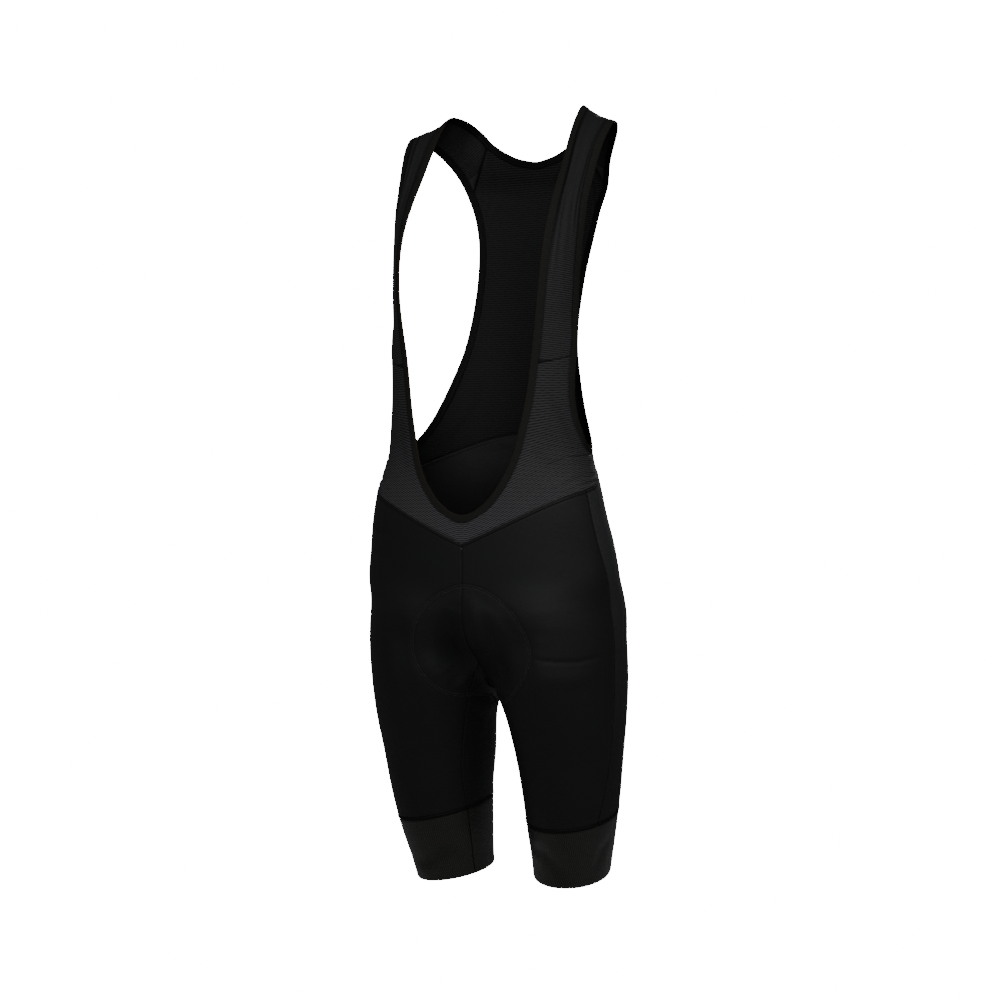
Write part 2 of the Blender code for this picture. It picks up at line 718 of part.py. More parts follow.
def make_leg(side, sign):
    flip = mirrored if sign < 0 else np.array
    planes = GRIPPERS[side]
    inner_angle, front_angle, back_angle = GRIPPER_ANGLES
    gripper_front = leg_ring(planes[:3], GRIPPER_CENTRE, np.linspace(inner_angle, front_angle, FRONT_COLUMNS + 1))
    gripper_side = leg_ring(planes[:3], GRIPPER_CENTRE, np.linspace(front_angle, back_angle, SIDE_COLUMNS + 1))
    gripper_seat = leg_ring(planes[:3], GRIPPER_CENTRE, np.linspace(inner_angle + 360, back_angle, SEAT_COLUMNS + 1))

    rise, inner = seam(RISE_SEAM), seam(INNER_LEG_SEAM)
    waist_front, waist_side, waist_back = waist_stations()

    def down_to(curve, end, rows):
        """The seam from its top to an exact point on the gripper."""
        last = nearest(curve, end)
        return spread(on_form(np.vstack([curve[: last - 2], end])), rows)

    side_front = down_to(seam(SIDE_FRONT_SEAM), gripper_front[-1], SHORTS_ROWS)
    side_back = down_to(seam(SIDE_BACK_SEAM), gripper_seat[-1], SHORTS_ROWS)
    side_front[0], side_back[0] = waist_side[0], waist_side[-1]
    rise_front = spread(between(rise, RISE_SEAM[0], FORK), RISE_ROWS)
    rise_seat = spread(between(rise, RISE_SEAM[-1], FORK), RISE_ROWS, SEAT_CROWDING)
    rise_seat[-1] = rise_front[-1]
    inner_leg = down_to(inner, gripper_front[0], SHORTS_ROWS - RISE_ROWS)
    inner_leg[0] = rise_front[-1]

    front_edge = np.vstack([rise_front, inner_leg[1:]])
    seat_edge = np.vstack([rise_seat, inner_leg[1:]])
    panels = {
        "front": stretched(waist_front, gripper_front, front_edge, side_front),
        "side": stretched(waist_side, gripper_side, side_front, side_back),
        "seat": stretched(waist_back[::-1], gripper_seat, seat_edge, side_back, relax=120),
    }
    for name, grid in panels.items():
        material = "side_knit" if name == "side" else "lycra"
        on_body(f"{name}_{side}", material, flip(grid))

    ring = np.vstack([gripper_front, gripper_side[1:], gripper_seat[::-1][1:]])
    angles = np.concatenate(
        [
            np.linspace(HEM_INNER_ANGLE, front_angle, FRONT_COLUMNS + 1),
            np.linspace(front_angle, back_angle, SIDE_COLUMNS + 1)[1:],
            np.linspace(back_angle, HEM_INNER_ANGLE + 360, SEAT_COLUMNS + 1)[1:],
        ]
    )
    hem = leg_ring(planes[3:], HEM_CENTRE, angles)
    share = np.linspace(0, 1, GRIPPER_ROWS + 1)[:, None, None]
    band = ring * (1 - share) + hem * share
    band[1:-1] = on_form(band[1:-1].reshape(-1, 3)).reshape(band[1:-1].shape)
    on_body(f"gripper_{side}", "gripper_knit", flip(band))


def make_pad():
    """The pad under the crotch: it follows the rise and spreads sideways over both legs."""
    rise = seam(RISE_SEAM)
    line = rise[nearest(rise, PAD_FRONT) :]
    along = lengths_along(line)
    places, half_widths, clearances = np.array(PAD_OUTLINE, float).T
    at = np.linspace(0, places[-1], PAD_ROWS + 1)
    points = np.stack([np.interp(at, along, line[:, k]) for k in range(3)], axis=1)
    half_columns, small_steps = PAD_COLUMNS // 2, 4
    stride = np.interp(at, places, half_widths)[:, None] / half_columns / small_steps
    forward = np.gradient(points, axis=0)
    rows = [points]
    for _ in range(half_columns):
        for _ in range(small_steps):
            sideways = unit(np.cross(normals_of_form(points), forward))
            points = on_form(points + stride * sideways * np.sign(sideways[:, :1]), steps=3)
        rows.append(points)
    half = np.stack(rows, axis=1)
    grid = np.concatenate([mirrored(half[:, :0:-1]), half], axis=1)
    outward = normals_of_form(grid)
    row, col = np.indices(grid.shape[:2])
    from_edge = np.minimum(np.minimum(row, PAD_ROWS - row), np.minimum(col, PAD_COLUMNS - col))
    thickness = PAD_EDGE + (PAD_THICK - PAD_EDGE) * np.clip(from_edge / 2, 0, 1)
    depth = CLOTH + np.interp(at, places, clearances)[:, None, None]
    add_cloth("pad", "pad_foam", grid - outward * depth, outward, thickness=thickness, split=-1)


# ---------------------------------------------------------------- the garment

for old in list(bpy.data.objects):
    bpy.data.objects.remove(old, do_unlink=True)
garment = bpy.data.collections.new("cycling_bib_shorts")
bpy.context.scene.collection.children.link(garment)
shoulder_line = bpy.data.objects.new("shoulder_line", None)
garment.objects.link(shoulder_line)

make_bib()
make_leg("left", 1)
make_leg("right", -1)
make_pad()
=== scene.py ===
# %% [markdown]
# # Cycling bib shorts
# The real garment is cut from stretch knits and sewn flat. Here it is filled out, with no wearer in it. The
# imported CAD gives every panel as a plain solid wall. A cloth simulation could fill the panels out again, but
# it would move the seams. So this script reads the rows and columns of each panel back from its solid, draws
# the cloth finely over it, and adds what makes it cloth: seams that sink in, soft creases, elastic on the
# free edges, stitches, a padded insert, and knit that follows each panel. The first cell loads the CAD as a
# fixed frame.

# %% Load the frame
import math
import bpy
import numpy as np
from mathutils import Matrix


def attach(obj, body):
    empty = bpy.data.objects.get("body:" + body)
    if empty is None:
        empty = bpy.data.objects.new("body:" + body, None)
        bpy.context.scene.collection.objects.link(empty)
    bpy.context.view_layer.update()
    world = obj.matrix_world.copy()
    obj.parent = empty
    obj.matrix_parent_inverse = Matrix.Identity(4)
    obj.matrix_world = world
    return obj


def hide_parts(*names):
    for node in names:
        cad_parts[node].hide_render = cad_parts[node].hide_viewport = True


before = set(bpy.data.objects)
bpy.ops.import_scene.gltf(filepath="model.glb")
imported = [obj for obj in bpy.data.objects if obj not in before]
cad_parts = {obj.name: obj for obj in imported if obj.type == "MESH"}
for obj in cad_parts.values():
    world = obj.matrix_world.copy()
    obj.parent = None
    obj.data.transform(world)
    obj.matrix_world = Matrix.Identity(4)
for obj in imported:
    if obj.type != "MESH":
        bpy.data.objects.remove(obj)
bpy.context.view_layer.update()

MM = 0.001

# %% [markdown]
# ## The camera
# The camera stands level with the middle of the garment, 27 degrees towards the wearer's left of the front.
# A wide lens close by would make the near leg larger than the other. A long lens a good way off keeps the two
# nearly the same size.

# %% Camera
CAMERA_TURN = math.radians(27)
CAMERA_AWAY = 2.44  # metres from the garment's upright middle line
CAMERA_ASIDE = 0.018  # metres to one side, which centres the garment
CAMERA_HEIGHT = -0.455  # halfway down from the shoulders to the hems
LENS = 73.17  # millimetres, on a 36 mm sensor

camera_data = bpy.data.cameras.new("camera")
camera_data.lens = LENS
camera_data.sensor_width = 36
camera = bpy.data.objects.new("camera", camera_data)
camera.location = (
    CAMERA_AWAY * math.sin(CAMERA_TURN) - CAMERA_ASIDE * math.cos(CAMERA_TURN),
    -CAMERA_AWAY * math.cos(CAMERA_TURN) - CAMERA_ASIDE * math.sin(CAMERA_TURN),
    CAMERA_HEIGHT,
)
camera.rotation_euler = (math.radians(90), 0, CAMERA_TURN)
bpy.context.scene.collection.objects.link(camera)
bpy.context.scene.camera = camera
print("camera at", [round(value, 3) for value in camera.location])

# %% [markdown]
# ## Colours and nodes
# The finishes of cloth, wall and floor are graphs of shader nodes. They could be wired by hand in the shader
# editor. Written out, they can be read line by line and used again for each cloth. Two small functions are
# enough: one turns a colour picker's code into light, and one adds a node that is already set and linked.

# %% Colours and nodes


def colour(hex_code):
    """A colour picker's hex code as the linear values that a shader takes."""
    values = [int(hex_code[k : k + 2], 16) / 255 for k in (1, 3, 5)]
    return tuple(v / 12.92 if v <= 0.04045 else ((v + 0.055) / 1.055) ** 2.4 for v in values) + (1,)


def add_node(owner, kind, place, inputs, output=0, **settings):
    """Adds a node to the graph of a world or material, and gives the socket of one of its outputs.

    inputs holds, by name or number, a value for each input or the output of another node to link to it.
    """
    node = owner.node_tree.nodes.new(kind)
    node.location = place
    for key, value in settings.items():
        setattr(node, key, value)
    for key, value in inputs.items():
        if isinstance(value, bpy.types.NodeSocket):
            owner.node_tree.links.new(value, node.inputs[key])
        else:
            node.inputs[key].default_value = value
    return node.outputs[output]


print("a mid grey as light:", round(colour("#808080")[0], 3))

# %% [markdown]
# ## Light and floor
# A white studio. A white wall near nearly black cloth would light it all over and wash out its folds. So the
# wall and the floor are white only for the camera, and hardly light the cloth. Large soft lamps do that: two
# in front, one at the side and one behind, so that the folds can be read from every side.

# %% World, floor and lamps
SEEN_WHITE = 22.0  # what the camera sees behind the garment, as bright as a white studio wall
SKY_LIGHT = 0.12  # what falls on the cloth from all round
FLOOR_HEIGHT = -1.2  # well below the hems, so that no shadow shows
FLOOR_SIZE = 60


def white_only_to_camera(owner, dim, bright, place):
    """A strength that is bright where the camera looks straight at it, and dim as a source of light."""
    looked_at = add_node(owner, "ShaderNodeLightPath", (place[0] - 200, place[1]), {}, "Is Camera Ray")
    values = {"Value": looked_at, "To Min": dim, "To Max": bright}
    return add_node(owner, "ShaderNodeMapRange", place, values, "Result")


world = bpy.data.worlds.new("studio")
world.use_nodes = True
background = world.node_tree.nodes["Background"]
background.inputs["Color"].default_value = (1, 1, 1, 1)
strength = white_only_to_camera(world, SKY_LIGHT, SEEN_WHITE, (-300, 0))
world.node_tree.links.new(strength, background.inputs["Strength"])
bpy.context.scene.world = world

bpy.ops.object.select_all(action="DESELECT")
bpy.ops.mesh.primitive_plane_add(size=FLOOR_SIZE, location=(0, 0, FLOOR_HEIGHT))
floor = bpy.context.object
floor.name = "studio_floor"


def lamp(name, place, aim, size, watts):
    """A square area lamp at place, turned to face aim, hidden from the camera."""
    data = bpy.data.lights.new(name, "AREA")
    data.size = size
    data.energy = watts
    made = bpy.data.objects.new(name, data)
    made.location = place
    direction = np.array(aim, float) - np.array(place, float)
    flat = math.hypot(direction[0], direction[1])
    made.rotation_euler = (math.atan2(flat, -direction[2]), 0, math.atan2(-direction[0], direction[1]))
    made.visible_camera = False
    bpy.context.scene.collection.objects.link(made)


lamp("key_lamp", (0.3, -0.95, 0.03), (0, -0.1, -0.42), 0.9, 6.2)
lamp("fill_lamp", (-1.5, -1.5, 0.5), (0, 0, -0.3), 1.4, 1.5)
lamp("side_lamp", (1.9, -0.7, 0.1), (0, 0, -0.5), 1.0, 5)
lamp("back_lamp", (-0.25, 1.1, 0.25), (0, 0, -0.55), 0.6, 20)
print("studio ready")

# %% [markdown]
# ## Materials
# A knit shows as a colour, a soft gloss and a small relief of ribs and loops. The ribs could be modelled, but
# there are thousands of them. Here they are waves in the material, laid along the piece's own UV map. That
# map is in metres on the cloth, so a rib keeps its true pitch wherever the panel goes.

# %% Material helpers


def new_material(name, base, roughness, specular, sheen=0.0, sheen_tint="#8e8f92"):
    """A Principled material, with a cloth's sheen where one is given."""
    material = bpy.data.materials.new(name)
    material.use_nodes = True
    shader = material.node_tree.nodes["Principled BSDF"]
    shader.inputs["Base Color"].default_value = colour(base)
    shader.inputs["Roughness"].default_value = roughness
    shader.inputs["Sheen Weight"].default_value = sheen
    shader.inputs["Sheen Roughness"].default_value = 0.5
    shader.inputs["Sheen Tint"].default_value = colour(sheen_tint)
    shader.inputs["Specular IOR Level"].default_value = specular
    return material, shader


def ribs(material, vector, axis, pitch, place):
    """Smooth ribs of height 0 to 1, one in every pitch millimetres along one axis of the vector."""
    # Blender's wave bands pass one period when the scaled coordinate grows by 2 pi / 20
    values = {"Vector": vector, "Scale": 2 * math.pi / 20 / (pitch * MM), "Distortion": 0.0}
    waves = {"wave_type": "BANDS", "bands_direction": axis, "wave_profile": "SIN"}
    return add_node(material, "ShaderNodeTexWave", place, values, "Color", **waves)


def crossed_ribs(material, vector, axis, pitch, slant, place):
    """The mean of two sets of ribs, turned by slant degrees either way: a brick pattern of dashes."""
    sets = []
    for turn, down in ((slant, 0), (-slant, 240)):
        values = {"Vector": vector, "Rotation": (0, 0, math.radians(turn))}
        turned = add_node(material, "ShaderNodeMapping", (place[0] - 200, place[1] - down), values, "Vector")
        sets.append(ribs(material, turned, axis, pitch, (place[0], place[1] - down)))
    values = {0: sets[0], 1: sets[1]}
    both = add_node(material, "ShaderNodeMath", (place[0] + 180, place[1]), values, operation="ADD")
    values = {0: both, 1: 0.5}
    return add_node(material, "ShaderNodeMath", (place[0] + 320, place[1]), values, operation="MULTIPLY")


def between(material, vector, axis, low, high, at_low, at_high, place):
    """A value from at_low to at_high, as one axis of the vector goes from low to high millimetres."""
    along = add_node(material, "ShaderNodeSeparateXYZ", (place[0] - 160, place[1]), {0: vector}, axis)
    values = {0: along, 1: low * MM, 2: high * MM, 3: at_low, 4: at_high}
    return add_node(material, "ShaderNodeMapRange", place, values)


def by_height(material, low, high, at_low, at_high, place):
    """A value that runs from at_low to at_high between two heights of the garment, in millimetres."""
    where = add_node(material, "ShaderNodeTexCoord", (place[0] - 320, place[1]), {}, "Object")
    return between(material, where, "Z", low, high, at_low, at_high, place)


def relief(material, shader, height, depth):
    """The height, from 0 to 1, as a bump of this depth in millimetres."""
    values = {"Height": height, "Strength": 1.0, "Distance": depth * MM}
    bump = add_node(material, "ShaderNodeBump", (-260, -320), values, "Normal")
    material.node_tree.links.new(bump, shader.inputs["Normal"])


def tone(material, shader, amount, low, high, painted_shade="#040404"):
    """The base colour runs from low to high with the amount, and towards the last colour, a painted shade, as
    far as the piece's painted shade attribute says.
    """
    # In a Mix node of colours, 0 is the share, 6 and 7 are the two colours and output 2 is the mixed one
    values = {0: amount, 6: colour(low), 7: colour(high)}
    knit = add_node(material, "ShaderNodeMix", (-460, 160), values, 2, data_type="RGBA")
    # Painted shade: the piece's attribute darkens the colour in grooves, seams and creases
    groove_and_shade = add_node(material, "ShaderNodeAttribute", (-460, 380), {}, "Fac", attribute_name="groove_and_shade")
    values = {0: groove_and_shade, 6: knit, 7: colour(painted_shade)}
    shaded = add_node(material, "ShaderNodeMix", (-240, 200), values, 2, data_type="RGBA")
    material.node_tree.links.new(shaded, shader.inputs["Base Color"])
    return shaded


def uv_of(material):
    """The cloth's own map, in metres."""
    return add_node(material, "ShaderNodeUVMap", (-1300, 0), {}, "UV", uv_map="cloth")


print("helpers for ribs, relief and tone are ready")

# %% [markdown]
# Polyamide, polyester and elastane knits scatter light, so they are rough, with little gloss and no metal.
# The eye tells them apart by their ribs and by how dark they are: smooth warp knit on the legs, ribbed mesh
# above the waist, a finer mesh at the back, crossed ribs on the grippers and a plain woven tape on the free
# edges. Each material is named for what it is made of. Those with threads too fine to show are drawn coarser.

# %% Fabrics
FABRIC = {}

# Matte polyamide and elastane warp knit: nearly black, with a grain too fine to see as threads
lycra, shader = new_material("lycra_warp_knit", "#161716", 0.62, 0.25, 0.04, "#8a8c8a")
uv = uv_of(lycra)
values = {"Vector": uv, "Scale": 1 / (1.3 * MM), "Detail": 2.0, "Roughness": 0.6}
grain = add_node(lycra, "ShaderNodeTexNoise", (-900, 0), values, "Fac")
wale = ribs(lycra, uv, "X", 1.2, (-900, -260))
wale = add_node(lycra, "ShaderNodeMath", (-700, -260), {0: wale, 1: 0.15}, operation="MULTIPLY")
height = add_node(lycra, "ShaderNodeMath", (-500, -160), {0: grain, 1: wale}, operation="ADD")
relief(lycra, shader, height, 0.05)
tone(lycra, shader, grain, "#121212", "#181818")
FABRIC["lycra"] = lycra


def ribbed(name, low, high, pitch, dash, depth, broken, sheen=0.0, smooth_above=None, paler=None):
    """A ribbed knit: ribs that follow the first direction of the cloth, broken into staggered dashes.

    Pitch, dash and depth are in millimetres, and broken is the dashes' share of the relief. smooth_above
    holds two heights in millimetres and what is left of the ribs above them. paler holds two heights and how
    much of the high colour shows at each.
    """
    material, shader = new_material(name, high, 0.7, 0.15, sheen)
    uv = uv_of(material)
    rib = ribs(material, uv, "Y", pitch, (-900, 240))
    # Crossed as steeply as a dash is long, slanted ribs make one row of dashes to every rib
    steep = math.degrees(math.atan2(pitch, dash))
    long_pitch = pitch * dash / math.hypot(pitch, dash)
    dashes = crossed_ribs(material, uv, "Y", long_pitch * 2, steep, (-900, -100))
    rib = add_node(material, "ShaderNodeMath", (-600, 100), {0: rib, 1: 1 - broken}, operation="MULTIPLY")
    dashes = add_node(material, "ShaderNodeMath", (-480, -200), {0: dashes, 1: broken}, operation="MULTIPLY")
    height = add_node(material, "ShaderNodeMath", (-400, 0), {0: rib, 1: dashes}, operation="ADD")
    if smooth_above:
        # Over the shoulder the mesh is stretched, so that its ribs flatten towards one height
        flat = 0.35
        fade = by_height(material, *smooth_above[:2], 1.0, smooth_above[2], (-600, 500))
        height = add_node(material, "ShaderNodeMath", (-480, 240), {0: height, 1: flat}, operation="SUBTRACT")
        height = add_node(material, "ShaderNodeMath", (-400, 240), {0: height, 1: fade}, operation="MULTIPLY")
        height = add_node(material, "ShaderNodeMath", (-320, 240), {0: height, 1: flat}, operation="ADD")
    relief(material, shader, height, depth)
    if paler:
        share = by_height(material, *paler, (-600, 700))
        values = {0: height, 1: share}
        height = add_node(material, "ShaderNodeMath", (-400, 400), values, operation="MULTIPLY")
    tone(material, shader, height, low, high)
    return material


# Ribbed polyester warp knit of the bib. Real ribs are about 1 mm apart. These are 2.25 mm, as coarse as they
# have to be to show. They are palest low on the belly
FABRIC["bib_mesh"] = ribbed(
    "bib_ribbed_mesh", "#0c0c0d", "#515154", 2.25, 4.6, 0.13, broken=0.2, paler=(-505, -380, 1.2, 0.55)
)
# The same knit turned across the straps
FABRIC["strap_mesh"] = ribbed(
    "strap_ribbed_mesh", "#0f0f10", "#39393b", 2.5, 7.0, 0.14, broken=0.1, smooth_above=(-200, -125, 0.08)
)
# Lighter mesh of the back, ribbed across the wearer's back, and darkened towards the waist as painted shade
FABRIC["back_mesh"] = ribbed(
    "back_ribbed_mesh", "#090909", "#252527", 2.85, 6.0, 0.14, broken=0.15, paler=(-380, -120, 0.5, 1.0)
)
# The wrong side of the straps, where the ribs stand out on a darker ground. The darker ground is painted shade
FABRIC["strap_inside_painted_shade"] = ribbed(
    "strap_mesh_wrong_side_painted_shade", "#050505", "#29292a", 2.6, 12.0, 0.14, broken=0.05, sheen=0.02,
    smooth_above=(-24, -4, 0.3),
)
# Charcoal polyamide knit of the side panels, with very fine ribs, paler over the hip
FABRIC["side_knit"] = ribbed(
    "side_panel_knit", "#1a1a1a", "#444446", 1.6, 2.4, 0.08, broken=0.3, paler=(-760, -520, 0.25, 1.0)
)

print("knits:", ", ".join(sorted(material.name for material in FABRIC.values())))

# %% [markdown]
# The grippers hold the hems on the thighs, so their knit is firm and a little glossy. The tape on the free
# edges is woven, so it shows ridges and no loops. The insert has a brushed face that hides its loops. Each
# gets the same three things as the knits: a relief, a tone that goes with it, and painted shade in grooves.

# %% Gripper, tape, insert and threads
# Gripper band: staggered upright stitches. Two sets of steep ribs cross, and are as coarse as they have to be
# to show
GRIPPER_PITCH = 2.4
GRIPPER_SLANT = 17  # degrees from upright
gripper, shader = new_material("gripper_crossed_rib_knit", "#262523", 0.45, 0.4)
stitch_height = crossed_ribs(gripper, uv_of(gripper), "X", GRIPPER_PITCH, GRIPPER_SLANT, (-900, 100))
relief(gripper, shader, stitch_height, 0.16)
sharp = add_node(gripper, "ShaderNodeMath", (-560, 300), {0: stitch_height, 1: 1.6}, operation="POWER")
tone(gripper, shader, sharp, "#020202", "#373532")
FABRIC["gripper_knit"] = gripper

# Woven elastic tape folded over the free edges: dull black, with ridges along it and no gloss
elastic, shader = new_material("woven_elastic_binding", "#1a1916", 0.8, 0.0)
uv = uv_of(elastic)
ridge = ribs(elastic, uv, "X", 1.1, (-900, 0))
pick = ribs(elastic, uv, "Y", 0.9, (-900, -260))
ridge = add_node(elastic, "ShaderNodeMath", (-700, 0), {0: ridge, 1: 0.6}, operation="MULTIPLY")
pick = add_node(elastic, "ShaderNodeMath", (-700, -260), {0: pick, 1: 0.4}, operation="MULTIPLY")
both = add_node(elastic, "ShaderNodeMath", (-500, 0), {0: ridge, 1: pick}, operation="ADD")
relief(elastic, shader, both, 0.03)
plain = tone(elastic, shader, both, "#20201f", "#2a2a28")
# A warmer, paler line where the tape is folded over, within about 1 mm of its free edge
fold = between(elastic, uv, "X", 0.7, 1.1, 0.85, 0.0, (-700, 560))
values = {0: fold, 6: plain, 7: colour("#30261e")}
folded = add_node(elastic, "ShaderNodeMix", (-60, 300), values, 2, data_type="RGBA")
elastic.node_tree.links.new(folded, shader.inputs["Base Color"])
FABRIC["elastic"] = elastic

# The same tape's inner side, plain black, and darker than the outer face as painted shade
elastic_inside, shader = new_material("woven_elastic_inner_side_painted_shade", "#060606", 0.6, 0.12)
ridge = ribs(elastic_inside, uv_of(elastic_inside), "Y", 1.2, (-900, 0))
relief(elastic_inside, shader, ridge, 0.1)
tone(elastic_inside, shader, ridge, "#060606", "#0d0d0d", "#020202")
FABRIC["elastic_inside"] = elastic_inside

# Brushed microfibre face of the foam insert: a soft sheen and no ribs
brushed, shader = new_material("pad_microfibre_face", "#1d1e20", 0.7, 0.25, 0.2, "#888c92")
values = {"Vector": uv_of(brushed), "Scale": 1 / (1.6 * MM), "Detail": 2.0, "Roughness": 0.6}
fleece = add_node(brushed, "ShaderNodeTexNoise", (-900, 0), values, "Fac")
relief(brushed, shader, fleece, 0.2)
tone(brushed, shader, fleece, "#161718", "#242527")
FABRIC["pad_foam"] = brushed

# Spun polyester sewing thread: black, the grey of the insert's seam, and a pale one for a single tack. A
# thread is too thin for its twist to show, so each is one colour
FABRIC["thread"], _ = new_material("polyester_thread_black", "#0b0b0b", 0.6, 0.15)
FABRIC["light_thread"], _ = new_material("polyester_thread_grey", "#2c2d2d", 0.5, 0.3)
FABRIC["pale_thread"], _ = new_material("polyester_thread_pale", "#6a6a6a", 0.5, 0.3)

# Matte white backdrop paper: as bright as the wall to the camera, and grey to the lamps
paper, shader = new_material("pale_studio_floor", "#a0a0a0", 0.9, 0.1)
shader.inputs["Emission Color"].default_value = (1, 1, 1, 1)
paper_light = white_only_to_camera(paper, 0.0, SEEN_WHITE, (-300, -200))
paper.node_tree.links.new(paper_light, shader.inputs["Emission Strength"])
floor.data.materials.append(paper)
print("materials:", ", ".join(sorted(material.name for material in FABRIC.values())))

# %% [markdown]
# ## The panels and how they lie
# Each panel of the real garment is one cut of cloth. In the CAD it was built as rows and columns of points,
# but the loaded solid holds only loose triangles. The panels could be drawn anew, but then they would no
# longer match the solids. So the cells below find the rows and columns again. This first one says how many
# rows and columns each panel has and on which side they begin. Where its corners lie is worked out from the
# solid.

# %% Panels and bindings
UP, FRONT, LEFT, RIGHT = (0, 0, 1), (0, -1, 0), (1, 0, 0), (-1, 0, 0)  # left and right are the wearer's
PANELS = {
    # node: rows, columns, the side where its first rows lie, and the side where its first columns lie
    "strap_left": (27, 7, FRONT, RIGHT),
    "front_left": (29, 11, UP, RIGHT),
    "side_left": (29, 5, UP, FRONT),
    "seat_left": (29, 15, UP, RIGHT),
    "gripper_left": (5, 29, UP, FRONT),
    "bib_front": (49, 8, LEFT, FRONT),
    "back_panel": (27, 19, UP, LEFT),
    "pad": (21, 9, FRONT, RIGHT),
}
for node in [name for name in PANELS if name.endswith("_left")]:
    rows, cols, *ways = PANELS[node]
    PANELS[node.replace("_left", "_right")] = (rows, cols, *[(-x, y, z) for x, y, z in ways])
BINDINGS = {
    # node: stations round the loop, the panel corner next to the first station, and the way to the second one
    "neck_binding": (110, ("front_left", 0, 0), LEFT),
    "armhole_binding_left": (59, ("strap_left", 0, -1), UP),
    "armhole_binding_right": (59, ("strap_right", 0, -1), UP),
}
WALLS = {"pad": 2.0, "neck_binding": 2.3, "armhole_binding_left": 2.3, "armhole_binding_right": 2.3}
CLOTH_WALL = 1.5  # millimetres of wall at the border of every other node
SAME_LENGTH = 0.02 * MM  # how far a side may be from the wall's thickness and still run through the wall
SHORTS = ("front", "side", "seat")
print("panels:", len(PANELS), "bindings:", len(BINDINGS))

# %% [markdown]
# ## The two faces of a solid
# A solid here is a thin wall with a smooth face on each side. Its border is a narrow strip, and every
# triangle of the strip has a side as long as the wall is thick. Without the strip the triangles fall apart
# into the two faces. The outer face is the one farther from the body, so it is told apart by a point inside
# the wearer.

# %% Faces of a solid


def unit(vectors):
    return vectors / (np.linalg.norm(vectors, axis=-1, keepdims=True) + 1e-15)


def middle_of(nodes):
    """The middle of the box round some nodes."""
    corners = np.vstack([[vertex.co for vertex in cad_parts[node].data.vertices] for node in nodes])
    return (corners.min(axis=0) + corners.max(axis=0)) / 2


def inside_point(node):
    """A point inside the wearer: the hip for the shorts, between the legs for the pad, else the chest."""
    if node.startswith(SHORTS + ("gripper",)):
        side = node.split("_")[1]
        return middle_of([part + "_" + side for part in SHORTS + ("gripper",)])
    return middle_of(["pad"] if node == "pad" else ["bib_front", "back_panel"])


class Solid:
    """A node's welded points and triangles, and which triangles belong to the wall along its border."""

    def __init__(self, node):
        self.node = node
        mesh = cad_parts[node].data
        mesh.calc_loop_triangles()
        loose = np.empty(3 * len(mesh.vertices))
        mesh.vertices.foreach_get("co", loose)
        corners = np.empty(3 * len(mesh.loop_triangles), int)
        mesh.loop_triangles.foreach_get("vertices", corners)
        loose = loose.reshape(-1, 3)
        _, first, index = np.unique(np.round(loose * 1e5), axis=0, return_index=True, return_inverse=True)
        self.points = loose[first]
        self.triangles = index.reshape(-1)[corners].reshape(-1, 3)
        a, b, c = (self.points[self.triangles[:, k]] for k in range(3))
        self.sides = {}
        for number, triangle in enumerate(self.triangles.tolist()):
            for k in range(3):
                self.sides.setdefault(frozenset((triangle[k], triangle[k - 1])), []).append(number)
        lengths = np.stack([np.linalg.norm(p - q, axis=1) for p, q in ((a, b), (b, c), (c, a))])
        wall = WALLS.get(node, CLOTH_WALL) * MM
        self.in_wall = (abs(lengths - wall) < SAME_LENGTH).any(axis=0)

    def faces(self):
        """The faces that are left without the border's wall, each a list of triangles, largest first."""
        group = -np.ones(len(self.triangles), int)
        faces = []
        for start in range(len(self.triangles)):
            if group[start] >= 0 or self.in_wall[start]:
                continue
            group[start] = len(faces)
            found, waiting = [], [start]
            while waiting:
                number = waiting.pop()
                found.append(number)
                triangle = self.triangles[number]
                for k in range(3):
                    for other in self.sides[frozenset((triangle[k], triangle[k - 1]))]:
                        if group[other] < 0 and not self.in_wall[other]:
                            group[other] = len(faces)
                            waiting.append(other)
            faces.append(found)
        return sorted(faces, key=len, reverse=True)

    def outer_face(self):
        """Of the two smooth faces, the one farther from the wearer's body."""
        inside = inside_point(self.node)

        def distance(face):
            points = self.points[np.unique(self.triangles[face])]
            return np.linalg.norm(points - inside, axis=1).mean()

        return max(self.faces()[:2], key=distance)


print("triangles of the pad's outer face:", len(Solid("pad").outer_face()))

# %% [markdown]
# ## Rows and columns
# From a first row and a first column the rest of a panel can be filled in quad by quad, but only if the two
# start at a true corner. So every point of the border is tried, both ways round. Sharp bends would show the
# corners too, but the pad's are rounded. A binding is a ring without corners, and is followed from beside a
# panel's one.

# %% Rows and columns


def walk(solid, face, first_row, first_column, rows, cols):
    """Fills the grid quad by quad from its first row and first column of point numbers."""
    grid = -np.ones((rows, cols), int)
    grid[0], grid[:, 0] = first_row, first_column
    inside, used = set(face), set()

    def across(a, b):
        number = next(n for n in solid.sides[frozenset((a, b))] if n in inside and n not in used)
        used.add(number)
        return (set(solid.triangles[number].tolist()) - {a, b}).pop()

    for i in range(rows - 1):
        for j in range(cols - 1):
            a, b, d = grid[i, j], grid[i, j + 1], grid[i + 1, j]
            third = across(a, b)
            if third == d:
                grid[i + 1, j + 1] = across(b, d)
            else:
                grid[i + 1, j + 1] = third
                across(a, third)
    return grid


def border_of(solid, face):
    """The border of a smooth face, as the neighbours of each of its border points."""
    inside, beside = set(face), {}
    for side, numbers in solid.sides.items():
        if sum(n in inside for n in numbers) == 1:
            a, b = side
            beside.setdefault(a, []).append(b)
            beside.setdefault(b, []).append(a)
    return beside


def loop_from(beside, start, second):
    """The points of a closed border in order, from start by way of second."""
    loop = [start, second]
    while True:
        nexts = [n for n in beside[loop[-1]] if n != loop[-2]]
        if nexts[0] == start:
            return loop
        loop.append(nexts[0])


def begins(grid, axis, way):
    """Whether the first half of a grid's rows or columns lies that way from the other half."""
    lines, half = np.moveaxis(grid, axis, 0), grid.shape[axis] // 2
    return (lines[:half].mean(axis=(0, 1)) - lines[-half:].mean(axis=(0, 1))) @ way > 0


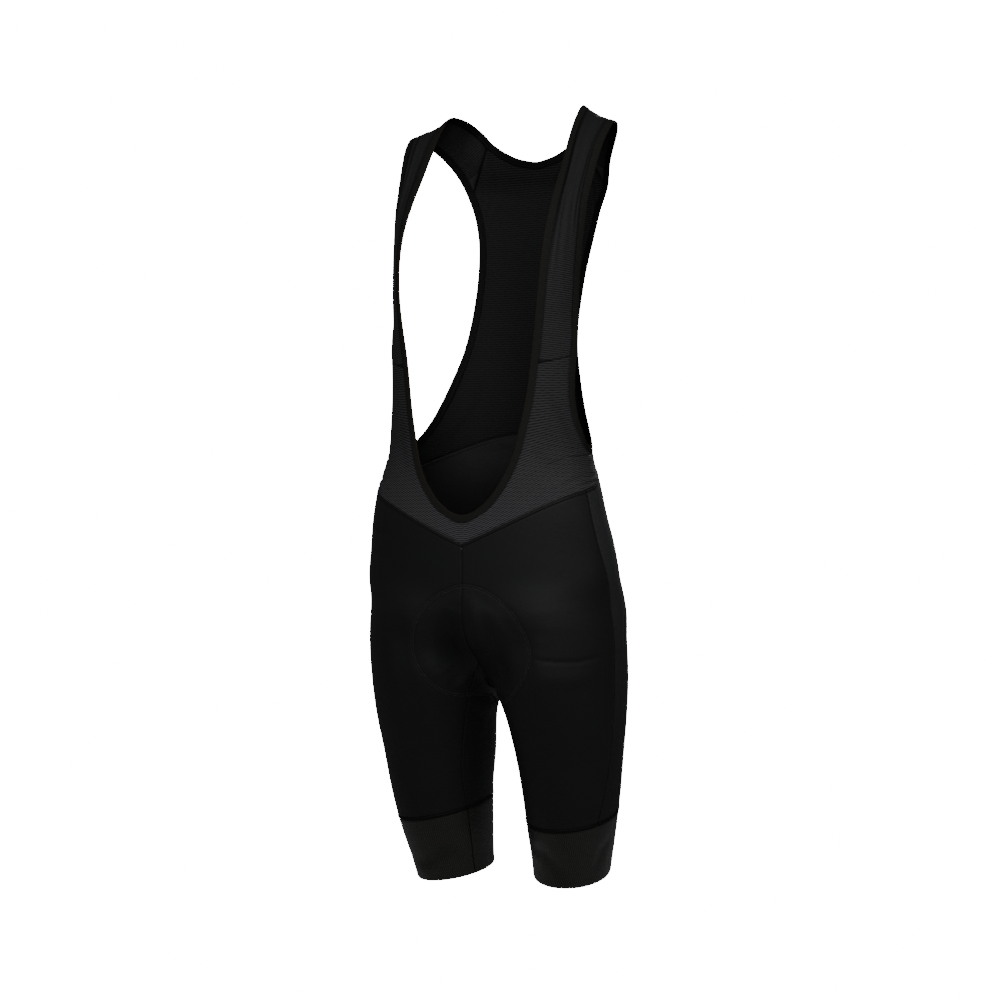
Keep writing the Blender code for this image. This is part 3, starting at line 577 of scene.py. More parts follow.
def panel_grid(node):
    """The rows and columns of a panel's outer face, as points in metres."""
    rows, cols, row_way, column_way = PANELS[node]
    solid = Solid(node)
    face = solid.outer_face()
    assert len(face) == 2 * (rows - 1) * (cols - 1), (node, len(face))
    beside = border_of(solid, face)
    start = next(iter(beside))
    ring = np.array(loop_from(beside, start, beside[start][0]))
    for turned in (ring, ring[::-1]):
        for shift in range(len(ring)):
            chosen = np.roll(turned, -shift)
            first_column = np.concatenate([chosen[:1], chosen[: -rows : -1]])
            try:
                numbers = walk(solid, face, chosen[:cols], first_column, rows, cols)
            except (KeyError, StopIteration):
                continue  # no quad fits here, so this start is no corner
            grid = solid.points[numbers]
            # Of the four corners, only one has its first rows and columns on the given sides
            full = len(np.unique(numbers)) == rows * cols
            if full and begins(grid, 0, row_way) and begins(grid, 1, column_way):
                return grid
    raise ValueError("no corners found for " + node)


def binding_grid(node):
    """The stations of a binding's outer face, three points to each, from the free edge inward."""
    count, (panel, row, col), way = BINDINGS[node]
    solid = Solid(node)
    face = solid.outer_face()
    assert len(face) == 4 * count, (node, len(face))
    beside, points = border_of(solid, face), solid.points
    start = next(iter(beside))
    one = loop_from(beside, start, beside[start][0])
    start = next(number for number in beside if number not in one)
    other = loop_from(beside, start, beside[start][0])

    def length(loop):
        return np.linalg.norm(np.roll(points[loop], -1, axis=0) - points[loop], axis=1).sum()

    def nearest(numbers, place):
        return min(numbers, key=lambda number: np.linalg.norm(points[number] - place))

    # The free edge lies nearer the middle of the opening than the sewn one, so its loop is the shorter
    free_edge, sewn_edge = sorted((one, other), key=length)
    between_edges = set(np.unique(solid.triangles[face]).tolist()) - set(one) - set(other)
    free = nearest(free_edge, grids[panel][row, col])
    middle = nearest(between_edges, points[free])
    sewn = nearest(sewn_edge, points[middle])
    second = max(beside[free], key=lambda number: points[number] @ way)
    edge = loop_from(beside, free, second)
    assert len(edge) == count, (node, len(edge))
    # The walk goes one way round, so the triangles just behind its first station are left out
    ahead, behind = points[edge[1]], points[edge[-1]]
    for a, b in ((free, middle), (middle, sewn)):
        pair = [number for number in solid.sides[frozenset((a, b))] if number in face]
        centres = points[solid.triangles[pair]].mean(axis=1)
        lean = np.linalg.norm(centres - ahead, axis=1) - np.linalg.norm(centres - behind, axis=1)
        face.remove(pair[int(lean.argmax())])
    return points[walk(solid, face, (free, middle, sewn), edge, count, 3)]


grids = {node: panel_grid(node) for node in PANELS}
loops = {node: binding_grid(node) for node in BINDINGS}
print("grids:", {node: grid.shape[:2] for node, grid in grids.items()})

# %% [markdown]
# ## Drawing a panel finely
# Real knit lies smooth between its seams, and the panel's few points would show as flat facets. A subdivision
# modifier would round them, but it also pulls the borders in. So a smooth curve runs through the points,
# first along the columns and then along the rows. Sample lines crowd together next to each border, where the
# cloth turns down into the seam.

# %% Smooth surface through a grid
STEP = 2.8 * MM
FINE_STEP = {"strap": 1.3 * MM, "front": 2.0 * MM, "bib": 2.2 * MM, "gripper": 2.2 * MM}
NEAR_BORDER = np.array([0, 0.4, 0.9, 1.5, 2.3, 3.5, 5.0]) * MM
# Beside the waist seam and above the grippers the lines lie closer, for the edges of a sewn band
NEAR_BAND = np.array([0, 0.4, 0.9, 1.6, 2.6, 3.6, 4.2, 4.7, 5.2, 5.9, 7.0]) * MM


def eased(t):
    """A smooth step from 0 to 1."""
    t = np.clip(t, 0, 1)
    return t * t * (3 - 2 * t)


def smooth_between(values, at, new):
    """Reads values given at stations at, at the new stations, on a cubic curve along the first axis."""
    slope = np.gradient(values, at, axis=0, edge_order=2 if len(at) > 2 else 1)
    # Where the stations bunch together, a slope over three times its gentler neighbour would fold the cloth
    steps = np.diff(values, axis=0) / np.diff(at).reshape((-1,) + (1,) * (values.ndim - 1))
    before_it, after_it = steps[:-1], steps[1:]
    most = 3 * np.minimum(abs(before_it), abs(after_it)) * (before_it * after_it > 0)
    slope[1:-1] = np.clip(slope[1:-1], -most, most)
    k = np.clip(np.searchsorted(at, new, side="right") - 1, 0, len(at) - 2)
    shape = (-1,) + (1,) * (values.ndim - 1)
    span = (at[k + 1] - at[k]).reshape(shape)
    t = (new - at[k]).reshape(shape) / span
    start, end = values[k], values[k + 1]
    rise = slope[k] * span * t * (1 - t) ** 2 - slope[k + 1] * span * t * t * (1 - t)
    return start * (2 * t**3 - 3 * t**2 + 1) + end * (3 * t**2 - 2 * t**3) + rise


def stations(length, near=NEAR_BORDER, step=STEP):
    """Places along a line of this length: even steps, and closer ones at both ends."""
    middle = np.linspace(near[-1], length - near[-1], max(2, round(length / step)))
    return np.concatenate([near[:-1], middle, length - near[:-1][::-1]])


def ring_smooth(values, at, total, new):
    """smooth_between on a closed line: the ends are wrapped round before it is read."""
    wrapped = np.concatenate([values[-4:], values, values[:4]])
    places = np.concatenate([at[-4:] - total, at, at[:4] + total])
    return smooth_between(wrapped, places, new)


def lengths_along(line):
    """How far along an open line each of its points lies."""
    return np.concatenate([[0], np.cumsum(np.linalg.norm(np.diff(line, axis=0), axis=1))])


def lengths_round(line):
    """How far round a closed line each of its points lies, and the length of the whole round."""
    steps = np.linalg.norm(np.roll(line, -1, axis=0) - line, axis=1)
    return np.concatenate([[0], np.cumsum(steps)[:-1]]), steps.sum()


def nearest_on(line, points):
    """For each point its distance from an open line, and how far along the line its nearest place is."""
    at = lengths_along(line)
    nearest, along = np.full(points.shape[:-1], 1e9), np.zeros(points.shape[:-1])
    for start, end, first, last in zip(line[:-1], line[1:], at[:-1], at[1:]):
        t = np.clip(((points - start) @ (end - start)) / (last - first) ** 2, 0, 1)
        gap = np.linalg.norm(points - start - t[..., None] * (end - start), axis=-1)
        closer = gap < nearest
        nearest = np.where(closer, gap, nearest)
        along = np.where(closer, first + t * (last - first), along)
    return nearest, along


def mean_lengths(grid, axis):
    steps = np.linalg.norm(np.diff(grid, axis=axis), axis=2).mean(axis=1 - axis)
    return np.concatenate([[0], np.cumsum(steps)])


# How far the borders are carried on, in millimetres: first row, last row, first column, last column. In a
# seam two cloths overlap a little, and under a binding the cloth goes in deeper. A hem stays where it is.
CARRIED = {
    "strap": (0.6, 0.6, 1.6, 1.6),
    "bib": (0.6, 0.6, 1.6, 0.9),
    "back": (0.9, 0.6, 1.4, 1.4),
    "side": (1.2, 0.5, 0.5, 0.5),
    "gripper": (0.5, 0.0, 0.5, 0.5),
}


def widened(node, grid):
    """The grid with its borders carried on, so that neighbouring cloths meet in the seams."""
    grid = grid.copy()
    first, last, left, right = CARRIED.get(node.split("_")[0], (0.5, 0.5, 0.5, 0.5))
    borders = ((0, 0, 1, first), (0, -1, -2, last), (1, 0, 1, left), (1, -1, -2, right))
    for axis, edge, inner, amount in borders:
        lines = np.moveaxis(grid, axis, 0)
        if node == "bib_front" and (axis, edge) == (1, -1):
            # Below the arms this border lies under the elastic. Further down it lies in the waist seam, which
            # is deeper at the sides, where three cloths meet
            x, z = lines[edge][:, :1], lines[edge][:, 2:]
            amount = np.where(z > -434 * MM, 1.8, np.where(abs(x) > 105 * MM, 1.7, amount))
        lines[edge] += amount * MM * unit(lines[edge] - lines[inner])
    return grid


def outward_sign(node, grid):
    """1 where rows crossed with columns point out of the cloth, and -1 where they point in."""
    solid, wall = Solid(node), WALLS.get(node, CLOTH_WALL) * MM
    normal = unit(np.cross(np.gradient(grid, axis=0), np.gradient(grid, axis=1))).reshape(-1, 3)
    step = solid.points[None] - grid.reshape(-1, 3)[:, None]
    # The inner face has a point straight behind each point of the outer one
    behind = abs(np.linalg.norm(step, axis=2) - wall) < 0.03 * MM
    return -float(np.sign((step * normal[:, None]).sum(axis=2)[behind].sum()))


class Cloth:
    """A panel's dense surface: points, outward normals, and each point's distance from the four borders."""

    def __init__(self, node):
        grid = widened(node, grids[node])
        rows_at, cols_at = mean_lengths(grid, 0), mean_lengths(grid, 1)
        banded = node.startswith(SHORTS)
        step = FINE_STEP.get(node.split("_")[0], STEP)
        self.v = stations(rows_at[-1], NEAR_BAND if banded else NEAR_BORDER, max(step, 2 * MM))
        self.u = stations(cols_at[-1], NEAR_BORDER, step)
        points = smooth_between(grid, rows_at, self.v)
        points = smooth_between(points.swapaxes(0, 1), cols_at, self.u).swapaxes(0, 1)
        self.node, self.points = node, points
        normal = np.cross(np.gradient(points, axis=0), np.gradient(points, axis=1))
        self.normals = unit(normal) * outward_sign(node, grids[node])
        along_u = np.linalg.norm(np.diff(points, axis=1), axis=2)
        along_v = np.linalg.norm(np.diff(points, axis=0), axis=2)
        self.from_left = np.pad(np.cumsum(along_u, axis=1), ((0, 0), (1, 0)))
        self.from_right = self.from_left[:, -1:] - self.from_left
        self.from_top = np.pad(np.cumsum(along_v, axis=0), ((1, 0), (0, 0)))
        self.from_bottom = self.from_top[-1:] - self.from_top
        self.nearest = np.minimum(
            np.minimum(self.from_left, self.from_right), np.minimum(self.from_top, self.from_bottom)
        )
        self.area = float((np.linalg.norm(normal, axis=2)[:-1, :-1]).sum())

    def size(self):
        """The widest and longest measure of the panel, in metres."""
        return float(self.from_left[:, -1].max()), float(self.from_top[-1].max())


def rounded_bottom(points, near_edge):
    """Lets the lowest part of the neckline down by up to 1.75 mm, so that it is a round U and not a point."""
    share = np.clip(abs(points[..., 0]) / (21 * MM), 0, 1)
    low = (points[..., 2] < -0.44) & (points[..., 1] < 0)
    points[..., 2] -= 1.75 * MM * np.sin(np.pi * share) ** 0.7 * (1 - eased(near_edge / (16 * MM))) * low


cloths = {node: Cloth(node) for node in PANELS if node != "pad"}
rounded_bottom(cloths["bib_front"].points, cloths["bib_front"].from_left)
print("dense points:", {node: cloth.points.shape[:2] for node, cloth in cloths.items()})

# %% [markdown]
# ## Seams and sewn bands
# Next to a seam the cloth dips. Below the waist seam and above each gripper the turned edge is stitched flat,
# so a band about 4.7 mm wide stands a little proud and ends in a fine groove. Separate strips of cloth would
# leave gaps, so the panel's own points are moved. Each point also gets a value from 0 to 1 of painted shade,
# for its grooves, bands, creases and the cloth beside the elastic, and the materials darken their colour
# with it.

# %% Seams and bands
SEAM_DIP = 0.55 * MM
SEAM_REACH = 2.4 * MM
BAND = 4.7 * MM  # from the seam to the groove at the band's far edge
BAND_RISE = 0.3 * MM
GROOVE = 0.4 * MM


def ridge_at(distance, place, half_width):
    return np.exp(-(((distance - place) / half_width) ** 2))


def seam_shape(cloth):
    """How far each point is pressed in by the seams, and the painted shade of the grooves there."""
    pressed = SEAM_DIP * (1 - eased(cloth.nearest / SEAM_REACH))
    # Painted shade in the groove of every seam
    painted_shade = 0.75 * ridge_at(cloth.nearest, 0, 0.9 * MM)
    if cloth.node.startswith(("strap", "bib", "back")):
        # Beside the elastic the cloth lies in its shadow, painted as shade, and dips a little
        beside = np.minimum(cloth.from_left, cloth.from_right)
        deep = 0.35 if cloth.node == "bib_front" else 0.8
        painted_shade = np.maximum(painted_shade, deep * ridge_at(beside, 2.3 * MM, 1.0 * MM))
        pressed = pressed + 0.25 * MM * ridge_at(beside, 2.6 * MM, 1.2 * MM)
    # Painted shade along the strap's seam to the back panel
    if cloth.node.startswith("strap"):
        painted_shade = np.maximum(painted_shade, 0.95 * ridge_at(cloth.from_bottom, 0.4 * MM, 2.6 * MM))
    # Painted shade along the back panel's seams to the straps and along its waist seam
    if cloth.node == "back_panel":
        across_top = np.where(abs(cloth.points[..., 0]) > 60 * MM, cloth.from_top, 1.0)
        painted_shade = np.maximum(painted_shade, 0.95 * ridge_at(across_top, 0.4 * MM, 1.8 * MM))
        painted_shade = np.maximum(painted_shade, 0.8 * ridge_at(cloth.from_bottom, 0.3 * MM, 1.8 * MM))
    if cloth.node.startswith(SHORTS):
        for distance in (cloth.from_top, cloth.from_bottom):
            inside = eased((distance - 0.7 * MM) / MM) * (1 - eased((distance - BAND + 1.2 * MM) / MM))
            # The band's far edge is a groove, pressed in and painted with shade
            groove_and_shade = ridge_at(distance, BAND, 0.6 * MM)
            pressed = pressed - BAND_RISE * inside + GROOVE * groove_and_shade
            painted_shade = np.maximum(painted_shade, 0.7 * groove_and_shade)
        # Painted shade over the whole of both bands, more above the grippers than below the waist seam
        painted_shade = np.maximum(painted_shade, 0.55 * (1 - eased((cloth.from_bottom - BAND) / (0.5 * MM))))
        painted_shade = np.maximum(painted_shade, 0.25 * (1 - eased((cloth.from_top - BAND) / (0.5 * MM))))
    return pressed, painted_shade


# %% [markdown]
# ## The padded insert's shape on the cloth
# The insert is sewn on along its outline. Inside the outline the foam lifts the cloth a little, and on the
# outline the stitches pull it in. Pushing the cloth with a shrinkwrap would lose its rows and columns, so
# each point of the cloth looks up the nearest point of the insert and moves by a rule.

# %% The insert's outline
from mathutils.kdtree import KDTree

pad_grid = grids["pad"]
rows_at, cols_at = mean_lengths(pad_grid, 0), mean_lengths(pad_grid, 1)
pad_v, pad_u = np.linspace(0, rows_at[-1], 150), np.linspace(0, cols_at[-1], 61)
pad_face = smooth_between(pad_grid, rows_at, pad_v)
pad_face = smooth_between(pad_face.swapaxes(0, 1), cols_at, pad_u).swapaxes(0, 1)
pad_normal = unit(np.cross(np.gradient(pad_face, axis=0), np.gradient(pad_face, axis=1)))
pad_normal *= outward_sign("pad", pad_grid)


def outline_of(rows_of_points):
    """The points round the border of a grid, in order, without repeats."""
    top, right = rows_of_points[0, :-1], rows_of_points[:-1, -1]
    bottom, left = rows_of_points[-1, :0:-1], rows_of_points[:0:-1, 0]
    return np.concatenate([top, right, bottom, left])


pad_outline = outline_of(pad_face)

# The seam's line on the front of the cloth, in millimetres. Its course was chosen, and a ray cast onto
# the solids gave the places. Behind, it follows the insert's own edge
FRONT_LINE = [(-9, -48, -685), (-18, -79, -683), (-28, -95, -682), (-43, -113, -673), (-55, -123, -660)]
FRONT_LINE += [(-64, -127, -644), (-68, -129, -625)]
FRONT_LINE += [(-65, -132, -606), (-56, -135, -587), (-42, -135, -571), (-20, -136, -559), (3, -136, -553)]
FRONT_LINE += [(25, -135, -557), (46, -135, -568), (63, -135, -582), (74, -134, -599), (82, -131, -617)]
FRONT_LINE += [(84, -130, -633), (80, -129, -648), (69, -127, -665), (53, -114, -680), (37, -97, -686)]
SEAM_POINTS = 420


def seam_line():
    """The closed line of the seam that holds the insert, at even steps."""
    front = np.array(FRONT_LINE, float) * MM
    away = np.linalg.norm(pad_outline[:, None] - front[[0, -1]][None], axis=2)
    start, end = int(away[:, 0].argmin()), int(away[:, 1].argmin())
    count = len(pad_outline)
    onward = (end + np.arange((start - end) % count)) % count
    back = (end - np.arange((end - start) % count)) % count
    one, other = pad_outline[onward], pad_outline[back]
    rear = one if one[:, 1].mean() > other[:, 1].mean() else other
    line = np.concatenate([front, rear[::9][1:-1]])
    at, total = lengths_round(line)
    return ring_smooth(line, at, total, np.linspace(0, total, SEAM_POINTS, endpoint=False))


insert_seam = seam_line()


def tree_of(points):
    """A tree that finds the nearest of the points quickly."""
    tree = KDTree(len(points))
    for number, point in enumerate(points.tolist()):
        tree.insert(point, number)
    tree.balance()
    return tree


outline_tree, seam_tree = tree_of(pad_outline), tree_of(insert_seam)
face_tree = tree_of(pad_face.reshape(-1, 3))
PAD_LIFT = 1.1 * MM
PAD_REACH = 14 * MM  # cloth farther from the insert than this isn't touched


def pad_shape(cloth):
    """How far the insert's seam pulls each point in or its foam lifts it out, and the painted shade in the
    seam.
    """
    pressed, painted_shade = np.zeros(cloth.points.shape[:2]), np.zeros(cloth.points.shape[:2])
    flat_points = cloth.points.reshape(-1, 3)
    flat_pressed, flat_painted_shade = pressed.reshape(-1), painted_shade.reshape(-1)
    for number, point in enumerate(flat_points.tolist()):
        _, where, gap = face_tree.find(point)
        if gap > PAD_REACH:
            continue
        rim, seam = outline_tree.find(point)[2], seam_tree.find(point)[2]
        row, col = divmod(where, len(pad_u))
        inside = 0 < row < len(pad_v) - 1 and 0 < col < len(pad_u) - 1
        flat_pressed[number] = 0.5 * MM * math.exp(-((seam / (2.8 * MM)) ** 2))
        # Painted shade along the insert's seam
        flat_painted_shade[number] = 0.35 * math.exp(-((seam / (2.2 * MM)) ** 2))
        if inside:
            flat_pressed[number] -= PAD_LIFT * float(eased((min(rim, seam) - 2 * MM) / (13 * MM)))
    return pressed, painted_shade


print("insert seam:", round(float(np.linalg.norm(np.diff(insert_seam, axis=0), axis=1).sum()), 3), "m")

# %% [markdown]
# ## Creases
# Stretch cloth that is filled out creases where it has cloth to spare: at the hips, at the crotch and round
# the hems. A cloth simulation would put creases in places of its own. Here each one is a soft trough or ridge
# along a short line, with its own depth and width, and fades out at both ends. On the front their lines were
# chosen and a ray cast onto the solids gave most of the places. Those behind were listed where cloth
# gathers.

# %% Creases
CREASES = [
    # depth (+ is a trough) and half width in millimetres, then points on the cloth in millimetres
    # wearer's left hip, from the thigh to the side panel
    (1.2, 2.2, [
        (84, -133, -632), (100, -129, -636), (119, -120, -637), (133, -110, -637), (145, -96, -634),
        (155, -76, -630),
    ]),
    (0.7, 3.0, [(154, -77, -630), (159, -57, -629), (158, -34, -628)]),
    (-1.5, 11.0, [(86, -130, -652), (108, -122, -656), (132, -109, -656), (152, -83, -648)]),
    # wearer's right hip
    (0.8, 2.6, [(-142, -94, -491), (-121, -114, -493), (-100, -121, -495)]),
    (0.5, 4.5, [(-146, -90, -520), (-126, -112, -516), (-104, -122, -521)]),
    # below the insert, where the two legs part
    (0.6, 2.4, [(14, -110, -629), (36, -115, -640), (62, -126, -651)]),
    (0.5, 2.2, [(10, -99, -643), (30, -108, -653), (50, -120, -665)]),
    (-0.5, 5.0, [(-26, -133, -590), (-19, -123, -616), (-13, -101, -643)]),
    # the thighs swell on both sides of the insert's lower half
    (-2.6, 15.0, [(-74, -134, -566), (-66, -132, -600), (-58, -126, -635), (-50, -116, -668)]),
    (-2.2, 15.0, [(34, -136, -572), (40, -135, -596), (50, -130, -624), (60, -124, -652)]),
    # beside the centre seam: a hollow on the wearer's right, and a fuller left side that catches the light
    (5.0, 15.0, [
        (-10, -134, -580), (-19, -128, -602), (-26, -118, -626), (-27, -106, -652), (-22, -95, -672),
    ]),
    (-2.6, 9.0, [(12, -136, -568), (16, -134, -590), (18, -126, -614), (22, -116, -632)]),
    (2.4, 10.0, [(34, -118, -630), (48, -122, -648), (50, -119, -668)]),
    # waves in the two grippers
    (1.9, 9.0, [(-118, -30, -880), (-91, -59, -888), (-61, -58, -871), (-42, -37, -880)]),
    (-1.4, 7.0, [(-104, -52, -902), (-72, -56, -894), (-48, -44, -896)]),
    (1.9, 9.0, [(46, -48, -858), (70, -65, -864), (86, -62, -884), (92, -54, -905)]),
    (-1.5, 7.0, [(96, -72, -842), (105, -62, -867), (109, -49, -895)]),
    (1.4, 7.0, [(134, -24, -842), (129, -36, -859), (123, -37, -888)]),
    # bib: light pulls from the neckline towards the underarm
    (0.7, 5.0, [(96, -111, -330), (110, -101, -362), (122, -90, -396)]),
    (0.6, 6.0, [(78, -124, -398), (98, -115, -412), (118, -98, -424)]),
    (0.6, 5.0, [(-94, -113, -355), (-86, -119, -392), (-72, -128, -424)]),
    # inside of the back, low down beside the armhole
    (-1.0, 5.0, [(-100, -18, -372), (-86, -5, -339), (-75, 6, -315), (-68, 14, -288)]),
    (0.9, 5.0, [(-90, -9, -380), (-70, 4, -352), (-55, 13, -326), (-46, 20, -300)]),
    (0.7, 6.0, [(92, -8, -382), (74, 2, -352), (58, 12, -322)]),
    # under the seat and behind the knees, on the side away from the front
    (1.4, 6.0, [(22, 66, -655), (52, 74, -662), (88, 66, -658), (118, 44, -648)]),
    (-0.9, 8.0, [(28, 70, -682), (62, 74, -688), (100, 58, -682)]),
    (1.3, 6.0, [(-24, 66, -658), (-58, 74, -664), (-92, 64, -657), (-120, 42, -650)]),
    (-0.8, 8.0, [(-30, 70, -685), (-66, 73, -690), (-98, 58, -684)]),
    (0.9, 4.5, [(44, 34, -770), (74, 42, -778), (104, 34, -772)]),
    (0.7, 4.0, [(58, 33, -800), (88, 32, -806), (114, 20, -800)]),
    (0.9, 4.5, [(-48, 36, -776), (-78, 42, -781), (-108, 32, -773)]),
    (0.6, 4.0, [(-54, 30, -806), (-84, 32, -810), (-110, 20, -802)]),
    # small of the back, above the waist seam
    (0.8, 6.0, [(-70, 10, -392), (-30, 19, -384), (10, 21, -388)]),
    (0.7, 5.0, [(20, 24, -360), (52, 18, -366), (80, 4, -374)]),
]


# Folds along the straps: depth and half width in millimetres, the share of the strap's width, from the neck
# side, at the fold's lower and upper end, and the distance of those ends from the bib in metres
STRAP_FOLDS = {
    "strap_left": [
        (1.5, 1.5, 0.13, 0.11, 0.10, 0.335),
        (-0.8, 2.0, 0.24, 0.20, 0.10, 0.335),
        (-0.7, 1.6, 0.72, 0.80, 0.14, 0.315),
        (1.2, 1.4, 0.80, 0.88, 0.14, 0.315),
    ],
    "strap_right": [
        (1.8, 1.6, 0.60, 0.66, 0.10, 0.345),
        (-0.8, 2.0, 0.49, 0.54, 0.12, 0.335),
        (1.3, 1.5, 0.86, 0.88, 0.12, 0.335),
        (1.1, 1.5, 0.16, 0.15, 0.14, 0.33),
    ],
}


def strap_fold_depth(cloth):
    """How far the folds along a strap press in each of its points."""
    width = cloth.from_left + cloth.from_right
    total = np.zeros(width.shape)
    for depth, half_width, low_share, high_share, low, high in STRAP_FOLDS.get(cloth.node, ()):
        place = np.clip((cloth.from_top - low) / (high - low), 0, 1)
        gap = cloth.from_left - width * (low_share + (high_share - low_share) * place)
        total += depth * MM * ridge_at(gap, 0, half_width * MM) * np.sin(np.pi * place) ** 0.6
    return total


def crease_depth(points):
    """How far each point is pressed in by all the creases."""
    total = np.zeros(points.shape[:-1])
    for depth, half_width, line in CREASES:
        line = np.array(line, float) * MM
        gap, along = nearest_on(line, points)
        place = along / lengths_along(line)[-1]
        across = ridge_at(gap, 0, half_width * MM)
        total += depth * MM * across * np.sin(np.pi * np.clip(place, 0.02, 0.98)) ** 0.7
    return total


print("creases:", len(CREASES))

# %% [markdown]
# ## Making the sheets
# A panel is one thickness of knit, 1.2 mm. Drawing its inner face too would double the work, so the dense
# surface becomes a mesh with a UV map in metres of cloth, and a Solidify modifier adds the thickness inward.

# %% Sheets
KNIT = 1.2 * MM
# Only the U of the bib is smaller than that
SEEN = {}


def mesh_object(name, points, faces, material, uv=None, groove_and_shade=None):
    """An object from arrays of points and faces; uv has one pair to every point, and groove one value of
    painted shade.
    """
    mesh = bpy.data.meshes.new(name)
    mesh.from_pydata(np.asarray(points).tolist(), [], np.asarray(faces).tolist())
    mesh.materials.append(material)
    if uv is not None:
        layer = mesh.uv_layers.new(name="cloth")
        corners = np.empty(len(mesh.loops), int)
        mesh.loops.foreach_get("vertex_index", corners)
        layer.uv.foreach_set("vector", np.asarray(uv)[corners].astype(np.float32).ravel())
    # The painted shade is kept as a point attribute, which the materials read
    if groove_and_shade is not None:
        values = mesh.attributes.new("groove_and_shade", "FLOAT", "POINT")
        values.data.foreach_set("value", np.asarray(groove_and_shade).astype(np.float32).ravel())
    mesh.shade_smooth()
    made = bpy.data.objects.new(name, mesh)
    bpy.context.scene.collection.objects.link(made)
    return made


def quads(rows, cols, around=False):
    """Faces over rows and columns of points; around closes the rows into a ring."""
    i, j = np.meshgrid(np.arange(rows if around else rows - 1), np.arange(cols - 1), indexing="ij")
    i, j = i.ravel(), j.ravel()
    below = (i + 1) % rows
    return np.stack([i * cols + j, i * cols + j + 1, below * cols + j + 1, below * cols + j], axis=1)


def faces_inward(points, faces, outward):
    """Whether the faces, taken together, look against the outward directions, one for each face."""
    a, b, c = (points[faces[:, k]] for k in range(3))
    return (np.cross(b - a, c - a) * outward).sum() < 0


def apply_modifier(made, kind, **settings):
    modifier = made.modifiers.new(kind.lower(), kind)
    for key, value in settings.items():
        setattr(modifier, key, value)
    bpy.ops.object.select_all(action="DESELECT")
    made.select_set(True)
    bpy.context.view_layer.objects.active = made
    bpy.ops.object.modifier_apply(modifier=modifier.name)


def sheet_piece(name, node, fabric, uv=None, inside=None):
    """The cloth of one panel, in place of its plain solid; inside names another finish for its inner face."""
    cloth = cloths[node]
    pressed, painted_shade = seam_shape(cloth)
    creased = crease_depth(cloth.points) + strap_fold_depth(cloth)
    pressed = pressed + creased
    # Painted shade: a trough's colour is darkened, the deeper it is, as light reaches less into it
    deep = creased / MM
    crease_shade_weight = 0.5 if node.startswith("strap") else 0.22
    painted_shade = np.clip(painted_shade + crease_shade_weight * np.clip(deep, 0, 1.2) + 0.1 * np.clip(deep - 1.2, 0, 5), 0, 0.9)
    if node.startswith(("front", "seat")):
        lifted, seam_shade = pad_shape(cloth)
        pressed, painted_shade = pressed + lifted, np.maximum(painted_shade, seam_shade)
    cloth.shown = cloth.points - cloth.normals * pressed[..., None]
    points, faces = cloth.shown.reshape(-1, 3), quads(*cloth.points.shape[:2])
    if faces_inward(points, faces, cloth.normals.reshape(-1, 3)[faces[:, 0]]):
        faces = faces[:, ::-1]
    if uv is None:
        uv = np.stack([cloth.from_left, cloth.from_top], axis=2)
    made = mesh_object(name, points, faces, FABRIC[fabric], uv.reshape(-1, 2), painted_shade)
    if inside:
        made.data.materials.append(FABRIC[inside])
    apply_modifier(
        made, "SOLIDIFY", thickness=KNIT, offset=-1, use_even_offset=False, material_offset=1 if inside else 0
    )
    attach(made, "root")
    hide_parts(node)
    width, length = cloth.size()
    SEEN[node] = made


# The waist seam in front, in metres: a V that is rounded a little at its point
WAIST_POINT, WAIST_RISE, WAIST_HALF = -0.505, 0.068, 0.137
WAIST_ROUND, ROUND_LIFT = 0.02, 0.0096
LEVEL_HEIGHT = -0.44  # the ribs keep their place where the waist seam passes this height


def rib_map(cloth):
    """Bib UVs: ribs follow the V of the waist seam below and run straight across the straps above."""
    x, z = cloth.points[..., 0], cloth.points[..., 2]
    waist = WAIST_POINT + WAIST_RISE * np.sqrt((x / WAIST_HALF) ** 2 + WAIST_ROUND) - ROUND_LIFT
    # The V fades out between 30 and 190 mm above the seam
    fade = 1 - eased((z - waist - 0.03) / 0.16)
    return np.stack([x, z - (waist - LEVEL_HEIGHT) * fade], axis=2)


def strap_map(cloth):
    """Strap UVs: the second value runs along the strap's middle line, so the ribs lie straight across it."""
    middle = cloth.points[:, cloth.points.shape[1] // 2]
    return np.stack([cloth.from_left, nearest_on(middle, cloth.points)[1]], axis=2)


sheet_piece("bib_front_cloth", "bib_front", "bib_mesh", rib_map(cloths["bib_front"]))
back_map = cloths["back_panel"].points[..., [0, 2]]
sheet_piece("back_panel_cloth", "back_panel", "back_mesh", back_map)
for side in ("left", "right"):
    ribs_across = strap_map(cloths["strap_" + side])
    sheet_piece("strap_cloth_" + side, "strap_" + side, "strap_mesh", ribs_across, inside="strap_inside_painted_shade")
    sheet_piece("front_cloth_" + side, "front_" + side, "lycra")
    sheet_piece("side_cloth_" + side, "side_" + side, "side_knit")
    sheet_piece("seat_cloth_" + side, "seat_" + side, "lycra")
    sheet_piece("gripper_cloth_" + side, "gripper_" + side, "gripper_knit")
print("sheets:", len(SEEN), "triangles:", sum(len(made.data.polygons) * 2 for made in SEEN.values()))

# %% [markdown]
# ## Elastic bindings
# The free edges are bound in flat elastic tape, folded over the cloth. Outside it is a warm black, and inside
# a plain black, darkened as painted shade. A flat strip of cloth would look like paper at its edge, so the
# tape has a whole section: a slim rounded bar with two low ridges, swept round each loop.

# %% Bindings


